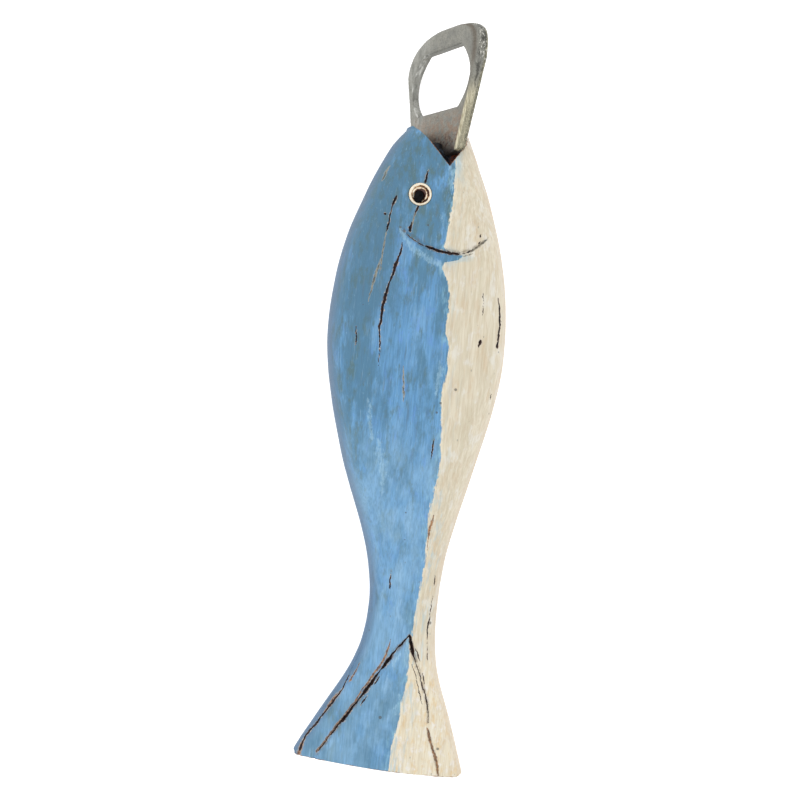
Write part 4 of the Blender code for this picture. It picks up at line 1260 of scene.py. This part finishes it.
# The eyes: on each flank a turned wooden ring, painted cream over brown and rubbed back, with
# a glossy black bead set into it a little low. The bead is pressed in while the paint is soft.
RING_STEPS = [
    # inset, lift and sideways shift of each further ring of the turning, in millimetres
    (0.10, 0.10, 0), (0.18, 0.08, 0), (0.34, 0.02, 0), (0.26, -0.10, 0), (0.12, -0.30, 0), (0.14, -0.04, 0),
    (0.12, 0.26, 0.25), (0.22, 0.08, 0.5), (0.14, -0.08, 0.25), (0.10, -0.50, 0), (0.30, -0.30, 0),
]
RING_BASE = 1.9 * MM
BEAD_SHIFT = Vector((-0.42, -0.85)) * MM
BEAD_SIZE = Vector((3.1, 4.3)) * MM
BEAD_CROWN = 1.25 * MM
BEAD_BASE = 1.1 * MM
BEAD_SINK = 0.25 * MM
EYE_TURN = radians(-14)
RING_SLACK = 0.02 * MM
JOG_WAVE = 1.3 * MM
JOG_SHARE = 0.035
JOG_LIFT = 0.10 * MM
EYE_RELIEF = 0.06 * MM
BEAD_RELIEF = 0.03 * MM
# how far the paint is rubbed off the ring, at places out from its middle, in millimetres
RUBBED_RING = [(1.2, 1.0), (1.7, 1.0), (1.9, 0.5), (2.1, 0.05), (2.3, 0.35), (2.5, 0.62), (2.7, 0.62),
               (2.9, 0.4), (3.05, 0.0), (3.9, -0.2)]

eye_paint = Finish("eye_cream")
eye_cloud = eye_paint.patches(0.6, 1.0, 1.0, 4.0, 0.7)
eye_patch = eye_paint.patches(1.5, 1.0, 2.0, 3.0, 0.6)
eye_coat = eye_paint.over(eye_cloud.band(0.4, 0.6), tone(238, 224, 196), tone(250, 242, 224))
groove_dirt = eye_paint.mark("hollow") + 1.5 * (eye_cloud - 0.5) + 1.4 * (eye_patch - 0.5)
eye_coat = eye_paint.lay(eye_coat, (184, 140, 92), groove_dirt.band(0.26, 0.44))
eye_coat = eye_paint.lay(eye_coat, (66, 34, 22), groove_dirt.band(0.5, 0.64))
eye_paint.finish(eye_coat, 0.35 + 0.3 * eye_cloud, eye_cloud, EYE_RELIEF, 0.6)

bead_black = Finish("bead_black")
bead_cloud = bead_black.patches(0.8, 1.0, 1.0, 3.0, 0.6)
bead_coat = bead_black.over(bead_cloud.band(0.3, 0.7), (0.001, 0.001, 0.001, 1), (0.005, 0.005, 0.006, 1))
bead_black.shader.inputs["Specular IOR Level"].default_value = 0.06
bead_black.finish(bead_coat, 0.16 + 0.15 * bead_cloud, bead_cloud, BEAD_RELIEF, 0.3)

for side, place_name in ((1, "upper"), (-1, "lower")):
    seat = Vector((EYE_X, eye_y, middle_z + side * (eye_half - RING_BASE)))
    bpy.ops.object.select_all(action="DESELECT")
    bpy.ops.mesh.primitive_cylinder_add(
        vertices=56, radius=EYE_DIAMETER / 2 - RING_SLACK, depth=RING_BASE, location=(0, 0, RING_BASE / 2)
    )
    ring = bpy.context.object
    ring.name = f"eye_surround_{place_name}"
    bpy.ops.object.transform_apply(location=True, rotation=False, scale=False)
    turning = edit(ring)
    bpy.ops.mesh.select_mode(type="FACE")
    pick(ring, [face for face in turning.faces if face.normal.z > 0.9])
    for inset, lift, shift in RING_STEPS:
        bpy.ops.mesh.inset(thickness=inset * MM, use_even_offset=False)
        move = BEAD_SHIFT * shift
        bpy.ops.transform.translate(value=(move.x, move.y, lift * MM))
    bpy.ops.object.mode_set(mode="OBJECT")
    smooth = ring.modifiers.new("worn_round", "SUBSURF")
    smooth.levels = 2
    smooth.render_levels = 2
    bpy.ops.object.modifier_apply(modifier=smooth.name)
    ring_points = get_points(ring.data)
    spokes = np.hypot(ring_points[:, 0], ring_points[:, 1])
    for point, spoke in zip(ring_points, spokes):
        jog = noise.noise(Vector((point[0], point[1], side * 9 * MM)) / JOG_WAVE)
        point[:2] *= 1 + JOG_SHARE * jog * (spoke > 0.4 * MM) * (spoke < 3.5 * MM)
        point[2] += JOG_LIFT * jog * (point[2] > RING_BASE * 0.9)
    set_points(ring.data, ring_points)
    hollow = np.interp(spokes / MM, *np.array(RUBBED_RING).T)
    round_turn = np.arctan2(ring_points[:, 1], ring_points[:, 0])
    hollow += 0.24 * np.cos(round_turn - EYE_TURN) * (spokes > 2.1 * MM) * (spokes < 3.05 * MM)
    keep_marks(ring, {"hollow": hollow})
    if side < 0:
        ring.data.transform(Matrix.Rotation(pi, 4, "X") @ Matrix.Scale(-1, 4, (0, 1, 0)))
        ring.data.flip_normals()
    ring.data.transform(Matrix.Translation(seat))
    shade_smooth(ring)
    ring.data.materials.append(eye_paint.material)
    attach(ring, "root")
    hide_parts(f"eye_ring_{place_name}")

    bpy.ops.object.select_all(action="DESELECT")
    bpy.ops.mesh.primitive_uv_sphere_add(segments=48, ring_count=32, radius=1)
    bead = bpy.context.object
    bead.name = f"eye_bead_{place_name}"
    edit(bead)
    bpy.ops.mesh.select_all(action="SELECT")
    bpy.ops.mesh.bisect(plane_co=(0, 0, -0.25), plane_no=(0, 0, 1), clear_inner=True, use_fill=True)
    bpy.ops.object.mode_set(mode="OBJECT")
    bead_points = get_points(bead.data)
    for point in bead_points:
        swell = 1 + 0.05 * noise.noise(Vector(point) * 1.4 + Vector((side, 0, 0)))
        point[0] *= swell * BEAD_SIZE.x / 2
        point[1] *= swell * BEAD_SIZE.y / 2
        point[2] = point[2] * BEAD_CROWN if point[2] > 0 else point[2] * BEAD_BASE * 4
    set_points(bead.data, bead_points)
    bead.data.transform(Matrix.Rotation(EYE_TURN, 4, "Z"))
    if side < 0:
        bead.data.transform(Matrix.Rotation(pi, 4, "X") @ Matrix.Scale(-1, 4, (0, 1, 0)))
        bead.data.flip_normals()
    bead.data.transform(Matrix.Translation((EYE_X + BEAD_SHIFT.x, eye_y + BEAD_SHIFT.y,
                                            middle_z + side * (eye_half - BEAD_SINK))))
    shade_smooth(bead)
    bead.data.materials.append(bead_black.material)
    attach(bead, "root")
    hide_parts(f"eye_pupil_{place_name}")
